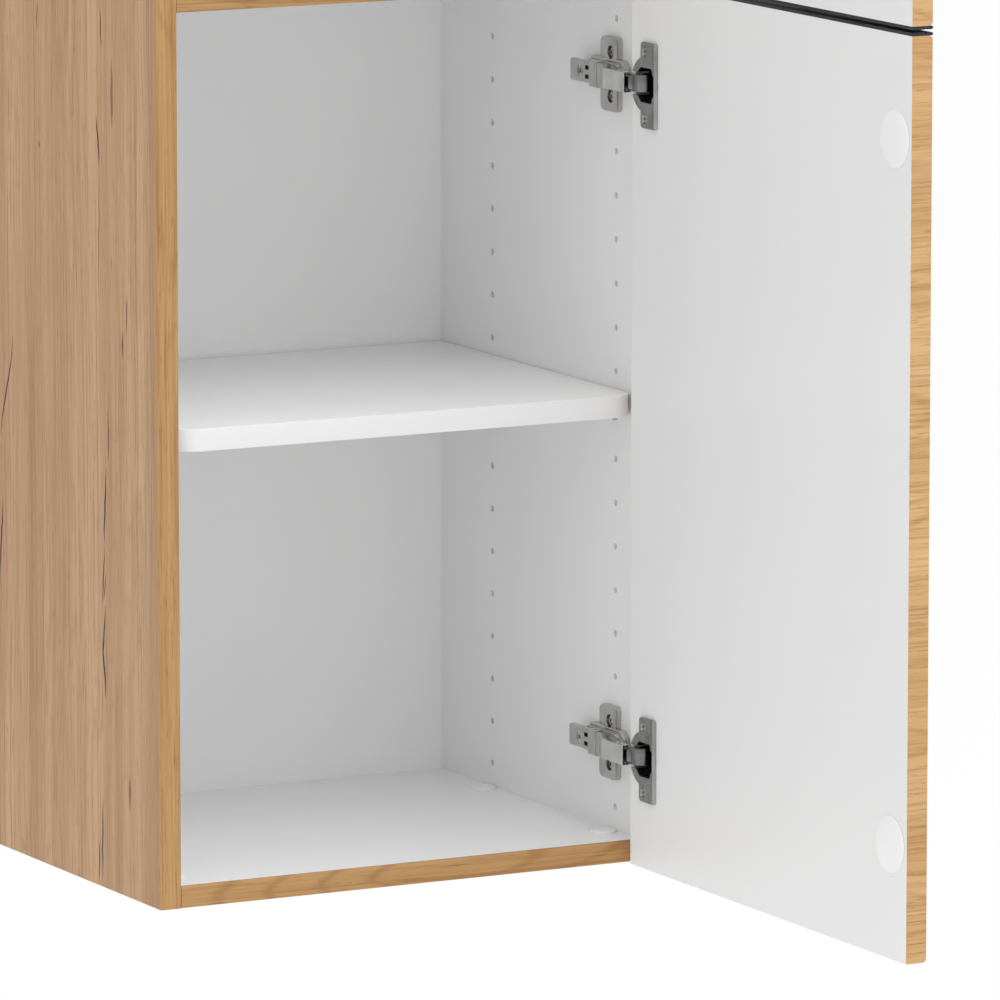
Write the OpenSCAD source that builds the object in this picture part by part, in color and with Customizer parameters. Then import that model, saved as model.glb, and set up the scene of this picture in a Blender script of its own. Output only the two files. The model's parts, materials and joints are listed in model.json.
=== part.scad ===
// Tall hanging wall cabinet with two doors, one above the other, hung on concealed cup hinges.
// Frame: X to the right, Y towards the wall, Z up. The origin is on the wall plane, in the
// middle of the cabinet's bottom edge. Both doors are drawn open at 90 degrees.

/* [Carcass] */
// Outer width of the carcass
carcass_w = 400; // [350:10:500]
// Outer height of the carcass
carcass_h = 1290; // [1250:5:1350]
// Depth of the carcass without the doors
carcass_d = 330; // [310:5:360]
// Thickness of the boards
board_t = 16; // [16:1:19]
// Clear height of the lower compartment
lower_bay_h = 620; // [616:1:624]
// Thickness of the oak edge bands
band_t = 2; // [1:0.5:3]
// Thickness of the back panel
back_t = 3; // [3:1:5]
// Distance from the wall to the back panel
back_recess = 16; // [14:1:20]

/* [Doors] */
// Thickness of the doors
door_t = 16; // [16:1:19]
// Gap between the carcass and a closed door
door_gap = 2; // [1.5:0.5:4]
// How far a closed door stays inside the carcass outline
reveal = 1.5; // [1:0.5:3]
// Height of a black grip profile
profile_h = 2.4; // [2:0.1:4]
// Gap between the two grip profiles
profile_gap = 1.8; // [1.5:0.1:3]
// How far a grip profile stands out of the door face
profile_lip = 0.5; // [0:0.1:1]

/* [Fittings] */
// Pitch of the shelf pin holes
hole_pitch = 32; // [32:1:32]
// Diameter of the shelf pin holes
hole_d = 5; // [5:0.5:6]
// Number of holes in one row of one compartment
hole_count = 19; // [10:1:19]
// Distance of the front hole row from the carcass front
front_row = 37; // [37:1:37]
// Distance of the rear hole row from the carcass front
rear_row = 229; // [200:1:240]
// Height of a shelf's underside above its compartment's floor
shelf_z = 309; // [309:32:405]
// Corner radius at the front of a shelf
shelf_r = 18; // [5:1:30]
// Diameter of a hinge cup
cup_d = 35; // [35:1:35]
// Distance of a hinge cup's centre from the door edge
cup_inset = 21.5; // [20:0.5:24]

/* [Hidden] */
$fn = 48;
FIT = 0.1;

oak = [0.75, 0.60, 0.42];
white = [0.9, 0.9, 0.91];
board_white = [0.86, 0.86, 0.87];
nickel = [0.62, 0.63, 0.65];
dark_steel = [0.36, 0.36, 0.37];
black = [0.06, 0.06, 0.06];
zinc = [0.75, 0.75, 0.76];
beech = [0.8, 0.65, 0.45];

inner_w = carcass_w - 2 * board_t;
wall_x = inner_w / 2;
core_front = -(carcass_d - band_t);
back_face = -(back_recess + back_t);
groove_depth = 6;
divider_z = board_t + lower_bay_h;
bay_pitch = divider_z;
top_z = carcass_h - board_t;
panel_zs = [0, divider_z, top_z];

// Holes, connectors and dowels
first_hole_z = board_t + 17.4;
hole_depth = 13;
pin_under_shelf = 3.6;
pin_depth = 8;
pin_collar_d = 7;
pin_collar_t = 2;
pin_plate = [9, 8, 1.6];
connector_ys = [-carcass_d + front_row, -carcass_d + 225];
dowel_ys = [-carcass_d + 80, -carcass_d + 180, -carcass_d + 270];
dowel_d = 8;
dowel_l = 30;
dowel_in_side = 10;
housing_d = 18;
housing_depth = 12;
housing_cap_d = 20;
housing_cap_t = 1.8;
housing_from_wall = 10;
housing_key_d = 6;
housing_key_depth = 1;
bolt_d = 5;
bolt_in_side = 11;

// Rails, wall hangers, their hooks and screws
rail_h = 90;
hanger_gap = 34;
hanger_z = top_z - 66;
hanger_h = 60;
hanger_w = 18;
hanger_d = 38;
hanger_wall = 2;
hanger_screw_zs = [hanger_z + 8, hanger_z + 22];
hanger_screw_inset = 12;
hanger_screw_d = 3.2;
hanger_head_d = 7;
hanger_seat = 3;
adjuster_z = hanger_z + 23;
adjuster_d = 6;
adjuster_depth = 7;
hook_w = 12;
hook_z = hanger_z + 36;
hook_t = 3;
hook_tip_h = 9;
hook_from_wall = 5;
hook_room_z = [-8, 12];
hook_slot_z = [-6, 10];

// Doors
door_w = carcass_w - 2 * reveal;
door_bottom = 1;
door_h = (carcass_h - 2 * door_bottom - profile_gap) / 2;
door_zs = [door_bottom, carcass_h - door_bottom - door_h];
edge_band_t = 1;
cap_inset = 23;
cap_d = 40;
cap_t = 1.6;
cap_bevel = 4;
cap_spigot = 6;
pocket_d = cup_d;
pocket_depth = 13;
door_r = 3;

// Hinges: heights, then the plan geometry of one hinge about the front inner corner of the
// right side panel, with X towards the side panel and Y towards the wall
hinge_offsets = [48, 536];
hinge_zs = [for (bay = [0, 1], offset_z = hinge_offsets) bay * bay_pitch + first_hole_z + offset_z];
open_corner = [-13, -10.5];
closed_corner = [board_t - reveal, -door_gap];
pole = [
    (closed_corner.x - open_corner.y + closed_corner.y + open_corner.x) / 2,
    (closed_corner.y + open_corner.x - closed_corner.x + open_corner.y) / 2
];

// A point in the open door: its depth under the inner face, its distance from the hinge edge
function in_door(depth, inset) = open_corner + [depth, -inset];
// The same point once the door has closed, turned back by 90 degrees about the pole
function closed(p) = pole + [p.y - pole.y, -(p.x - pole.x)];
// The arm pivot at a given X that is equally far from the open and the closed door pivot
function arm_pivot(p, x) =
    let (middle = (p + closed(p)) / 2, way = middle - pole)
    pole + way * (x - pole.x) / way.x;

inner_door_pin = in_door(4, 10);
outer_door_pin = in_door(5, 14);
inner_arm_pin = arm_pivot(inner_door_pin, -17.4);
outer_arm_pin = arm_pivot(outer_door_pin, -16.7);
inner_knee = [-17.25, -14];
outer_knee = [-15, -17.2];
cup_centre = in_door(0, cup_inset);

arm_face = -21;
arm_tip = -12.5;
arm_half_z = 7.3;
cheek_t = 1;
link_half_w = 1.1;
outer_link_z = [4.9, 6.0];
inner_link_half_z = 4.3;
eye_r = 2;
pin_r = 1;
pin_fit = 0.05;

// Mounting plate with its two wings and two screws
wing_half_z = 26.9;
wing_d = 25;
wing_t = 4.8;
wing_r = 4;
wing_shift = 3;
plate_row = front_row;
plate_body_top = -8.8;
plate_body_y = [19, 64];
plate_body_half_z = 9.6;
plate_seat = -2.4;
plate_seat_d = 9.4;
plate_head = -4.4;
plate_head_d = 8.8;
plate_screw_end = 11;
plate_screw_zs = [-hole_pitch / 2, hole_pitch / 2];

// Arm: its rear, clip and front part, then the cam screw, the side screw and two slots
arm_skin = 1;
arm_back = -9;
arm_rear_x = -13.5;
arm_rear_y = [48, 83];
arm_rear_half_z = 8;
arm_clip_x = -16;
arm_clip_y = [37, 48.5];
arm_clip_half_z = 9.6;
arm_bend_y = 20;
arm_throat = [-14.6, -4];
arm_heel_y = 6;
cam_y = 67;
cam_face = -13.2;
cam_floor = -11.5;
cam_d = 7.8;
cam_slot_half_w = 0.6;
side_screw_y = 40.5;
side_screw_z = -0.2;
side_screw_face = -15.5;
side_screw_d = 5;
arm_slot_y = [54, 59.6];
arm_slot_z = 3.3;
arm_slot_half_w = 1.5;
arm_slot_floor = -11;

// Cup with its flange, cavity, lug and two screws
cup_face = open_corner.x;
cup_floor = cup_face + 12;
cup_back = cup_face + 12.8;
flange_t = 2.5;
flange_ys = [open_corner.y - 38.9, open_corner.y - 17];
flange_half_z = 30.8;
flange_r = 3;
collar_t = 1.6;
collar_r = 20.2;
well_half_z = 8.4;
well_near = 14.8;
broad_well_half_z = 12.6;
broad_well_ys = [-12.5, 5.5];
mouth_y = 5;
mouth_sill = 2;
lug_root = [cup_floor - 1.2, inner_door_pin.y - 1];
lug_half_w = 1.9;
lug_half_z = 2;
fork_half_z = 2.4;
fork_r = 3.6;
cup_screw_zs = [-24, 24];
cup_screw_y = cup_centre.y - 1.5;
cup_screw_d = 3.4;
cup_screw_depth = 10;
cup_head_d = 6;
cup_head = [-2.2, -1];

// ---- Helpers ----

// Box given by its two opposite corners
module block(low, high) {
    translate(low) cube(high - low);
}

// Cylinder along X from x0 to x1
module rod_x(d, x0, x1, y, z) {
    translate([x0, y, z]) rotate([0, 90, 0]) cylinder(d = d, h = x1 - x0);
}

// Flat bar with round ends between two points of a plan
module bar(p, q, half_w) {
    way = q - p;
    translate(p) rotate(atan2(way.y, way.x))
        translate([0, -half_w]) square([norm(way), 2 * half_w]);
    translate(p) circle(half_w);
    translate(q) circle(half_w);
}

// Plan outline drawn upright between two heights
module slab(z0, z1) {
    translate([0, 0, z0]) linear_extrude(z1 - z0) children();
}

// The same outline drawn twice, as far above the middle plane as below it
module both_levels(z0, z1) {
    slab(z0, z1) children();
    slab(-z1, -z0) children();
}

// The same child on the right and, mirrored, on the left
module both_sides() {
    children();
    mirror([1, 0, 0]) children();
}

// Places a child at hinge i, in the hinge's own plan frame
module at_hinge(i) {
    translate([wall_x, -carcass_d, hinge_zs[i]]) children();
}

// ---- Carcass boards ----

// All holes that one side panel carries on its inner face, drawn for the right side
module side_panel_holes() {
    for (bay = [0, 1], k = [0:hole_count - 1], row = [front_row, rear_row])
        rod_x(hole_d, wall_x - 1, wall_x + hole_depth, -carcass_d + row,
            bay * bay_pitch + first_hole_z + k * hole_pitch);
    for (hinge_z = hinge_zs, z = plate_screw_zs)
        rod_x(hole_d, wall_x - 1, wall_x + hole_depth, -carcass_d + front_row, hinge_z + z);
    for (z = panel_zs, y = dowel_ys)
        rod_x(dowel_d, wall_x - 1, wall_x + dowel_in_side, y, z + board_t / 2);
    for (z = panel_zs, y = connector_ys)
        rod_x(bolt_d, wall_x - 1, wall_x + bolt_in_side, y, z + board_t / 2);
    block([wall_x - 1, back_face - FIT, board_t - groove_depth],
        [wall_x + groove_depth, -back_recess + FIT, top_z + groove_depth]);
}

module right_side() {
    difference() {
        block([wall_x, core_front, 0], [wall_x + board_t, 0, carcass_h]);
        side_panel_holes();
    }
}

module left_side_panel() {
    color(oak) mirror([1, 0, 0]) right_side();
}

module right_side_panel() {
    color(oak) right_side();
}

// Holes in the two ends of a flat panel and its housing pockets; up is 1 when the housings
// open upwards and -1 when they open downwards
module flat_panel_holes(z, up) {
    for (side = [-1, 1]) {
        for (y = dowel_ys) {
            reach = side * (wall_x - dowel_l + dowel_in_side);
            rod_x(dowel_d, min(reach, side * (wall_x + 1)), max(reach, side * (wall_x + 1)),
                y, z + board_t / 2);
        }
        for (y = connector_ys) {
            reach = side * (wall_x - housing_from_wall);
            rod_x(bolt_d, min(reach, side * (wall_x + 1)), max(reach, side * (wall_x + 1)),
                y, z + board_t / 2);
            face = up > 0 ? z + board_t - housing_depth : z - 1;
            translate([side * (wall_x - housing_from_wall), y, face])
                cylinder(d = housing_d + 2 * FIT, h = housing_depth + 1);
        }
    }
}

// One flat panel; groove is 1 for a groove in the top face, -1 in the bottom face and 0 for none
module flat_panel(z, up, groove) {
    rear = groove == 0 ? back_face - FIT : 0;
    difference() {
        block([-wall_x, core_front, z], [wall_x, rear, z + board_t]);
        flat_panel_holes(z, up);
        if (groove != 0) {
            low = groove > 0 ? z + board_t - groove_depth : z - 1;
            block([-wall_x - 1, back_face - FIT, low],
                [wall_x + 1, -back_recess + FIT, low + groove_depth + 1]);
        }
    }
}

module bottom_panel() {
    color(board_white) flat_panel(0, 1, 1);
}

module divider_panel() {
    color(board_white) flat_panel(divider_z, -1, 0);
}

module top_panel() {
    color(board_white) flat_panel(top_z, -1, -1);
}

// Plan outline of an edge band that ends at the carcass front with two rounded corners
module band_outline(x0, x1) {
    r = band_t / 2;
    translate([x0, -carcass_d + r]) square([x1 - x0, band_t - r]);
    translate([x0 + r, -carcass_d]) square([x1 - x0 - 2 * r, r]);
    for (x = [x0 + r, x1 - r]) translate([x, -carcass_d + r]) circle(r);
}

module side_edge_band() {
    slab(0, carcass_h) band_outline(wall_x, wall_x + board_t);
}

module left_side_edge_band() {
    color(oak) mirror([1, 0, 0]) side_edge_band();
}

module right_side_edge_band() {
    color(oak) side_edge_band();
}

// Band along the front of a flat panel, rounded along its upper and lower corner
module flat_edge_band(z) {
    r = band_t / 2;
    block([-wall_x, -carcass_d + r, z], [wall_x, core_front, z + board_t]);
    block([-wall_x, -carcass_d, z + r], [wall_x, -carcass_d + r, z + board_t - r]);
    for (height = [z + r, z + board_t - r])
        rod_x(2 * r, -wall_x, wall_x, -carcass_d + r, height);
}

module bottom_edge_band() {
    color(oak) flat_edge_band(0);
}

module divider_edge_band() {
    color(oak) flat_edge_band(divider_z);
}

module top_edge_band() {
    color(oak) flat_edge_band(top_z);
}

// ---- Back, rails and hangers ----

// One hanger's slot through the back panel, drawn for the right side
module hook_slot() {
    block([wall_x - hanger_wall - hook_w - 3, back_face - 1, hook_z + hook_slot_z[0]],
        [wall_x - hanger_wall, -back_recess + 1, hook_z + hook_slot_z[1]]);
}

module back_panel() {
    grip = groove_depth - 0.5;
    color(white) difference() {
        block([-wall_x - grip, back_face, board_t - grip],
            [wall_x + grip, -back_recess, top_z + grip]);
        both_sides() hook_slot();
    }
}

module hanging_rail() {
    color(board_white)
        block([-wall_x + hanger_gap, -back_recess + FIT, top_z - rail_h],
            [wall_x - hanger_gap, 0, top_z]);
}

module lower_rail() {
    color(board_white)
        block([-wall_x, -back_recess + FIT, board_t], [wall_x, 0, board_t + rail_h]);
}

// Hanger housing, drawn for the right side: a hollow box with an opening at the rear
module hanger_housing() {
    x0 = wall_x - hanger_w;
    y0 = back_face - hanger_d;
    difference() {
        block([x0, y0, hanger_z], [wall_x, back_face, hanger_z + hanger_h]);
        block([x0 + hanger_wall, y0 + hanger_wall, hook_z + hook_room_z[0]],
            [wall_x - hanger_wall, back_face + 1, hook_z + hook_room_z[1]]);
        for (z = hanger_screw_zs) {
            rod_x(hanger_screw_d + 2 * FIT, x0 - 1, wall_x + 1, y0 + hanger_screw_inset, z);
            rod_x(hanger_head_d + 2 * FIT, x0 - 1, x0 + hanger_seat, y0 + hanger_screw_inset, z);
        }
        translate([x0 + hanger_w / 2, y0 - 1, adjuster_z]) rotate([-90, 0, 0])
            cylinder(d = adjuster_d, h = adjuster_depth + 1);
    }
}

// Hook plate, drawn for the right side: a tongue through the back panel with a raised tip
module hanger_hook() {
    x0 = wall_x - hanger_wall - hook_w - 1;
    y0 = back_face - hanger_d + 6;
    block([x0, y0, hook_z], [x0 + hook_w, -hook_from_wall, hook_z + hook_t]);
    block([x0, -hook_from_wall - hook_t, hook_z + hook_t],
        [x0 + hook_w, -hook_from_wall, hook_z + hook_tip_h]);
}

module hanger_screw() {
    x0 = wall_x - hanger_w;
    y = back_face - hanger_d + hanger_screw_inset;
    for (z = hanger_screw_zs) {
        rod_x(hanger_screw_d, x0 + hanger_seat, wall_x, y, z);
        rod_x(hanger_head_d, x0 + 0.6, x0 + hanger_seat - FIT, y, z);
    }
}

module wall_hangers() {
    color(white) both_sides() hanger_housing();
}

module hanger_hooks() {
    color(zinc) both_sides() hanger_hook();
}

module hanger_screws() {
    color(zinc) both_sides() hanger_screw();
}

// ---- Shelves ----

shelf_half_w = wall_x - 1;
shelf_front = -carcass_d + 3;
shelf_rear = back_face - 2;

// Board with two rounded front corners
module shelf(z) {
    slab(z, z + board_t) {
        translate([-shelf_half_w, shelf_front + shelf_r])
            square([2 * shelf_half_w, shelf_rear - shelf_front - shelf_r]);
        translate([-shelf_half_w + shelf_r, shelf_front])
            square([2 * (shelf_half_w - shelf_r), shelf_r]);
        for (side = [-1, 1])
            translate([side * (shelf_half_w - shelf_r), shelf_front + shelf_r])
                circle(shelf_r, $fn = 96);
    }
}

module lower_shelf() {
    color(white) shelf(board_t + shelf_z);
}

module upper_shelf() {
    color(white) shelf(bay_pitch + board_t + shelf_z);
}

// Pin in a hole under a shelf, with a flat top that the shelf rests on
module shelf_pin(row, z) {
    y = -carcass_d + row;
    rod_x(hole_d - 2 * FIT, wall_x - 1, wall_x + pin_depth, y, z - pin_under_shelf);
    rod_x(pin_collar_d, wall_x - pin_collar_t, wall_x - FIT, y, z - pin_under_shelf);
    block([wall_x - pin_plate.x, y - pin_plate.y / 2, z - pin_plate.z],
        [wall_x - FIT, y + pin_plate.y / 2, z]);
}

module shelf_pins() {
    color(zinc) both_sides()
        for (bay = [0, 1], row = [front_row, rear_row])
            shelf_pin(row, bay * bay_pitch + board_t + shelf_z);
}

// ---- Connectors and dowels ----

// Housing cap and body; it opens along up from the panel that starts at z
module connector_housing(z, up, y) {
    x = wall_x - housing_from_wall;
    body_h = housing_depth - 0.5;
    face = up > 0 ? z + board_t : z;
    outer = face + up * housing_cap_t;
    inner = face - up * body_h;
    difference() {
        union() {
            translate([x, y, min(face, outer)]) cylinder(d = housing_cap_d, h = housing_cap_t);
            translate([x, y, min(face, inner)]) cylinder(d = housing_d, h = body_h);
        }
        rod_x(bolt_d + 2 * FIT, x - 4, x + housing_d, y, z + board_t / 2);
        translate([x - 2, y, outer - housing_key_depth])
            cylinder(d = housing_key_d, h = 2 * housing_key_depth);
    }
}

module connector_housings() {
    color(white) both_sides() for (y = connector_ys) {
        connector_housing(0, 1, y);
        connector_housing(divider_z, -1, y);
        connector_housing(top_z, -1, y);
    }
}

module connector_bolts() {
    x = wall_x - housing_from_wall - 3;
    color(zinc) both_sides() for (z = panel_zs, y = connector_ys)
        rod_x(bolt_d - 2 * FIT, x, wall_x + bolt_in_side - 0.5, y, z + board_t / 2);
}

module dowels() {
    x = wall_x - dowel_l + dowel_in_side + 0.5;
    color(beech) both_sides() for (z = panel_zs, y = dowel_ys)
        rod_x(dowel_d - 2 * FIT, x, wall_x + dowel_in_side - 0.5, y, z + board_t / 2);
}

// ---- Hinge, in its own plan frame ----

// Screw seat and slot of one wing, along X
module plate_screw_hole(z) {
    rod_x(hole_d + 4 * FIT, plate_body_top - 1, 1, plate_row, z);
    rod_x(plate_seat_d, plate_body_top - 1, plate_seat, plate_row, z);
}

// Cross-shaped mounting plate with a raised body under the arm
module hinge_plate() {
    y0 = plate_row + wing_shift - wing_d / 2;
    y1 = y0 + wing_d;
    color(nickel) difference() {
        union() {
            block([-wing_t, y0 + wing_r, -wing_half_z], [0, y1 - wing_r, wing_half_z]);
            block([-wing_t, y0, -wing_half_z + wing_r], [0, y1, wing_half_z - wing_r]);
            for (y = [y0 + wing_r, y1 - wing_r], z = [-1, 1])
                rod_x(2 * wing_r, -wing_t, 0, y, z * (wing_half_z - wing_r));
            block([plate_body_top, plate_body_y[0], -plate_body_half_z],
                [0, plate_body_y[1], plate_body_half_z]);
        }
        for (z = plate_screw_zs) plate_screw_hole(z);
    }
}

// Screw that holds a mounting plate in the 5 mm hole row
module plate_screw(z) {
    rod_x(hole_d - 2 * FIT, plate_seat, plate_screw_end, plate_row, z);
    rod_x(plate_head_d, plate_head, plate_seat - FIT, plate_row, z);
}

// Arm: a solid rear part, a raised clip part and a hollow front part that holds the links
module hinge_arm() {
    color(nickel) difference() {
        union() {
            block([arm_rear_x, arm_rear_y[0], -arm_rear_half_z],
                [arm_back, arm_rear_y[1], arm_rear_half_z]);
            block([arm_clip_x, arm_clip_y[0], -arm_clip_half_z],
                [arm_back, arm_clip_y[1], arm_clip_half_z]);
            slab(-arm_half_z, arm_half_z)
                polygon([[arm_clip_x, arm_clip_y[0] + 0.5], [arm_face, arm_bend_y],
                    [arm_face, arm_tip], [arm_throat.x, arm_tip], arm_throat,
                    [arm_back, arm_heel_y], [arm_back, arm_clip_y[0] + 0.5]]);
        }
        slab(-arm_half_z + cheek_t, arm_half_z - cheek_t)
            translate([arm_face + arm_skin, arm_tip - 1])
                square([arm_back + 1 - arm_face - arm_skin, arm_bend_y - arm_tip]);
        for (p = [inner_arm_pin, outer_arm_pin])
            slab(-arm_half_z - 1, arm_half_z + 1) translate(p) circle(pin_r);
        rod_x(cam_d + 2 * FIT, arm_rear_x - 1, cam_floor, cam_y, 0);
        rod_x(side_screw_d + 2 * FIT, arm_clip_x - 1, arm_back + FIT, side_screw_y,
            side_screw_z);
        for (z = [-arm_slot_z, arm_slot_z])
            block([arm_rear_x - 1, arm_slot_y[0], z - arm_slot_half_w],
                [arm_slot_floor, arm_slot_y[1], z + arm_slot_half_w]);
    }
}

// Pins in one arm: a full pin for the inner link and two studs for the outer link
module arm_pin_set() {
    slab(-arm_half_z, arm_half_z) translate(inner_arm_pin) circle(pin_r);
    both_levels(outer_link_z.x, arm_half_z) translate(outer_arm_pin) circle(pin_r);
}

// Inner link: a bent bar with a bore at each end and a fork round the cup's lug
module hinge_inner_link() {
    color(dark_steel) difference() {
        slab(-inner_link_half_z, inner_link_half_z) {
            bar(inner_arm_pin, inner_knee, link_half_w);
            bar(inner_knee, inner_door_pin, link_half_w);
            translate(inner_arm_pin) circle(eye_r);
            translate(inner_door_pin) circle(eye_r);
        }
        for (p = [inner_arm_pin, inner_door_pin])
            slab(-inner_link_half_z - 1, inner_link_half_z + 1)
                translate(p) circle(pin_r + pin_fit);
        slab(-fork_half_z, fork_half_z) translate(inner_door_pin) circle(fork_r);
    }
}

// Outer link: two bent cheeks, one on each side of the inner link, with an open end in the cup
module hinge_outer_link() {
    color(dark_steel) difference() {
        both_levels(outer_link_z.x, outer_link_z.y) {
            bar(outer_arm_pin, outer_knee, link_half_w);
            bar(outer_knee, outer_door_pin, link_half_w);
            translate(outer_arm_pin) circle(eye_r);
            translate(outer_door_pin) circle(eye_r);
        }
        slab(-outer_link_z.y - 1, outer_link_z.y + 1)
            translate(outer_arm_pin) circle(pin_r + pin_fit);
    }
}

// Outline of the flange, seen along X: a tall plate and a round part towards the hinge edge
module flange_shape(x0, x1) {
    y0 = flange_ys[0];
    y1 = flange_ys[1];
    r = flange_r;
    intersection() {
        translate([x1 - collar_t, cup_centre.y, 0]) rotate([0, 90, 0])
            cylinder(r = collar_r, h = collar_t, $fn = 96);
        block([x0 - 1, y1 - 1, -flange_half_z], [x1 + 1, 0, flange_half_z]);
    }
    block([x0, y0, -flange_half_z + r], [x1, y1, flange_half_z - r]);
    block([x0, y0 + r, -flange_half_z], [x1, y1 - r, flange_half_z]);
    for (y = [y0 + r, y1 - r], z = [-flange_half_z + r, flange_half_z - r])
        rod_x(2 * r, x0, x1, y, z);
}

// Cup with its flange, its cavity and the lug that holds the inner link's pin
module hinge_cup() {
    cup_y = cup_centre.y;
    open_x = cup_face - 10;
    color(nickel) difference() {
        union() {
            difference() {
                union() {
                    flange_shape(cup_face - flange_t, cup_face);
                    rod_x(cup_d - 2 * FIT, cup_face - 1, cup_back, cup_y, 0);
                }
                intersection() {
                    rod_x(cup_d - 2, open_x, cup_floor, cup_y, 0);
                    union() {
                        block([open_x, cup_y - well_near, -well_half_z],
                            [cup_floor + 1, cup_y + cup_d, well_half_z]);
                        block([open_x, cup_y + broad_well_ys[0], -broad_well_half_z],
                            [cup_floor + 1, cup_y + broad_well_ys[1], broad_well_half_z]);
                    }
                }
                block([open_x, cup_y + mouth_y, -well_half_z],
                    [cup_floor - mouth_sill, cup_y + cup_d, well_half_z]);
            }
            slab(-lug_half_z, lug_half_z) bar(inner_door_pin, lug_root, lug_half_w);
        }
        slab(-lug_half_z - 1, lug_half_z + 1) translate(inner_door_pin) circle(pin_r);
        for (z = cup_screw_zs) {
            rod_x(cup_screw_d + 2 * FIT, cup_face - flange_t - 1, cup_face + 1, cup_screw_y, z);
            rod_x(cup_head_d + 2 * FIT, cup_face - flange_t - 1, cup_face + cup_head[1],
                cup_screw_y, z);
        }
    }
}

module cup_pin() {
    slab(-inner_link_half_z, inner_link_half_z) translate(inner_door_pin) circle(pin_r);
}

module cup_screw_pair() {
    for (z = cup_screw_zs) {
        rod_x(cup_screw_d, cup_face + cup_head[1], cup_face + cup_screw_depth, cup_screw_y, z);
        rod_x(cup_head_d, cup_face + cup_head[0], cup_face + cup_head[1], cup_screw_y, z);
    }
}

module hinge_1_plate() { at_hinge(0) hinge_plate(); }
module hinge_2_plate() { at_hinge(1) hinge_plate(); }
module hinge_3_plate() { at_hinge(2) hinge_plate(); }
module hinge_4_plate() { at_hinge(3) hinge_plate(); }
module hinge_1_arm() { at_hinge(0) hinge_arm(); }
module hinge_2_arm() { at_hinge(1) hinge_arm(); }
module hinge_3_arm() { at_hinge(2) hinge_arm(); }
module hinge_4_arm() { at_hinge(3) hinge_arm(); }
module hinge_1_inner_link() { at_hinge(0) hinge_inner_link(); }
module hinge_2_inner_link() { at_hinge(1) hinge_inner_link(); }
module hinge_3_inner_link() { at_hinge(2) hinge_inner_link(); }
module hinge_4_inner_link() { at_hinge(3) hinge_inner_link(); }
module hinge_1_outer_link() { at_hinge(0) hinge_outer_link(); }
module hinge_2_outer_link() { at_hinge(1) hinge_outer_link(); }
module hinge_3_outer_link() { at_hinge(2) hinge_outer_link(); }
module hinge_4_outer_link() { at_hinge(3) hinge_outer_link(); }
module hinge_1_cup() { at_hinge(0) hinge_cup(); }
module hinge_2_cup() { at_hinge(1) hinge_cup(); }
module hinge_3_cup() { at_hinge(2) hinge_cup(); }
module hinge_4_cup() { at_hinge(3) hinge_cup(); }

module plate_screws() {
    color(zinc) for (i = [0:3]) at_hinge(i)
        for (z = plate_screw_zs) plate_screw(z);
}

// The round cam screw and the side screw of every arm
module adjusting_screws() {
    color(zinc) for (i = [0:3]) at_hinge(i) {
        difference() {
            rod_x(cam_d, cam_face, cam_floor, cam_y, 0);
            block([cam_face - 1, cam_y - cam_slot_half_w, -cam_d / 2 + 1],
                [cam_face + cam_slot_half_w, cam_y + cam_slot_half_w, cam_d / 2 - 1]);
        }
        rod_x(side_screw_d, side_screw_face, arm_back + FIT, side_screw_y, side_screw_z);
    }
}

module arm_pins() {
    color(nickel) for (i = [0:3]) at_hinge(i) arm_pin_set();
}

module lower_cup_pins() {
    color(nickel) for (i = [0, 1]) at_hinge(i) cup_pin();
}

module upper_cup_pins() {
    color(nickel) for (i = [2, 3]) at_hinge(i) cup_pin();
}

module lower_cup_screws() {
    color(zinc) for (i = [0, 1]) at_hinge(i) cup_screw_pair();
}

module upper_cup_screws() {
    color(zinc) for (i = [2, 3]) at_hinge(i) cup_screw_pair();
}

// ---- Doors, drawn open ----

door_x0 = wall_x + open_corner.x;
door_x1 = door_x0 + door_t;
door_y1 = -carcass_d + open_corner.y;
door_y0 = door_y1 - door_w;
cap_y = door_y0 + cap_inset;

// Part of a door between two distances along its width and two heights; the outer face is
// rounded along the door's lower and upper edge
module door_slice(low, high, y0, y1, z0, z1) {
    intersection() {
        translate([0, y1, 0]) rotate([90, 0, 0]) linear_extrude(y1 - y0) {
            translate([door_x0, low]) square([door_t - door_r, high - low]);
            translate([door_x0, low + door_r]) square([door_t, high - low - 2 * door_r]);
            for (z = [low + door_r, high - door_r])
                translate([door_x1 - door_r, z]) circle(door_r);
        }
        block([door_x0 - 1, y0, z0], [door_x1 + 1, y1, z1]);
    }
}

// Core of a door; the grip profile lies on its top when top_grip is true, else on its bottom
module door_panel(bay, top_grip) {
    low = door_zs[bay] + (top_grip ? 0 : profile_h);
    high = door_zs[bay] + door_h - (top_grip ? profile_h : 0);
    core_low = top_grip ? low + edge_band_t : low;
    core_high = top_grip ? high : high - edge_band_t;
    color(white) difference() {
        door_slice(low, high, door_y0 + edge_band_t, door_y1 - edge_band_t, core_low, core_high);
        for (i = [2 * bay, 2 * bay + 1]) {
            at_hinge(i) rod_x(pocket_d, cup_face - 1, cup_face + pocket_depth, cup_centre.y, 0);
            at_hinge(i) for (z = cup_screw_zs)
                rod_x(cup_screw_d + FIT, cup_face - 1, cup_face + cup_screw_depth + 0.5,
                    cup_screw_y, z);
            rod_x(pocket_d, door_x0 - 1, door_x0 + pocket_depth, cap_y, hinge_zs[i]);
        }
    }
}

// Bands on the two upright edges and on the edge away from the grip profile
module door_edge_bands(bay, top_grip) {
    low = door_zs[bay] + (top_grip ? 0 : profile_h);
    high = door_zs[bay] + door_h - (top_grip ? profile_h : 0);
    end = top_grip ? low : high - edge_band_t;
    color(oak) {
        door_slice(low, high, door_y0, door_y0 + edge_band_t, low, high);
        door_slice(low, high, door_y1 - edge_band_t, door_y1, low, high);
        door_slice(low, high, door_y0, door_y1, end, end + edge_band_t);
    }
}

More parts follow.
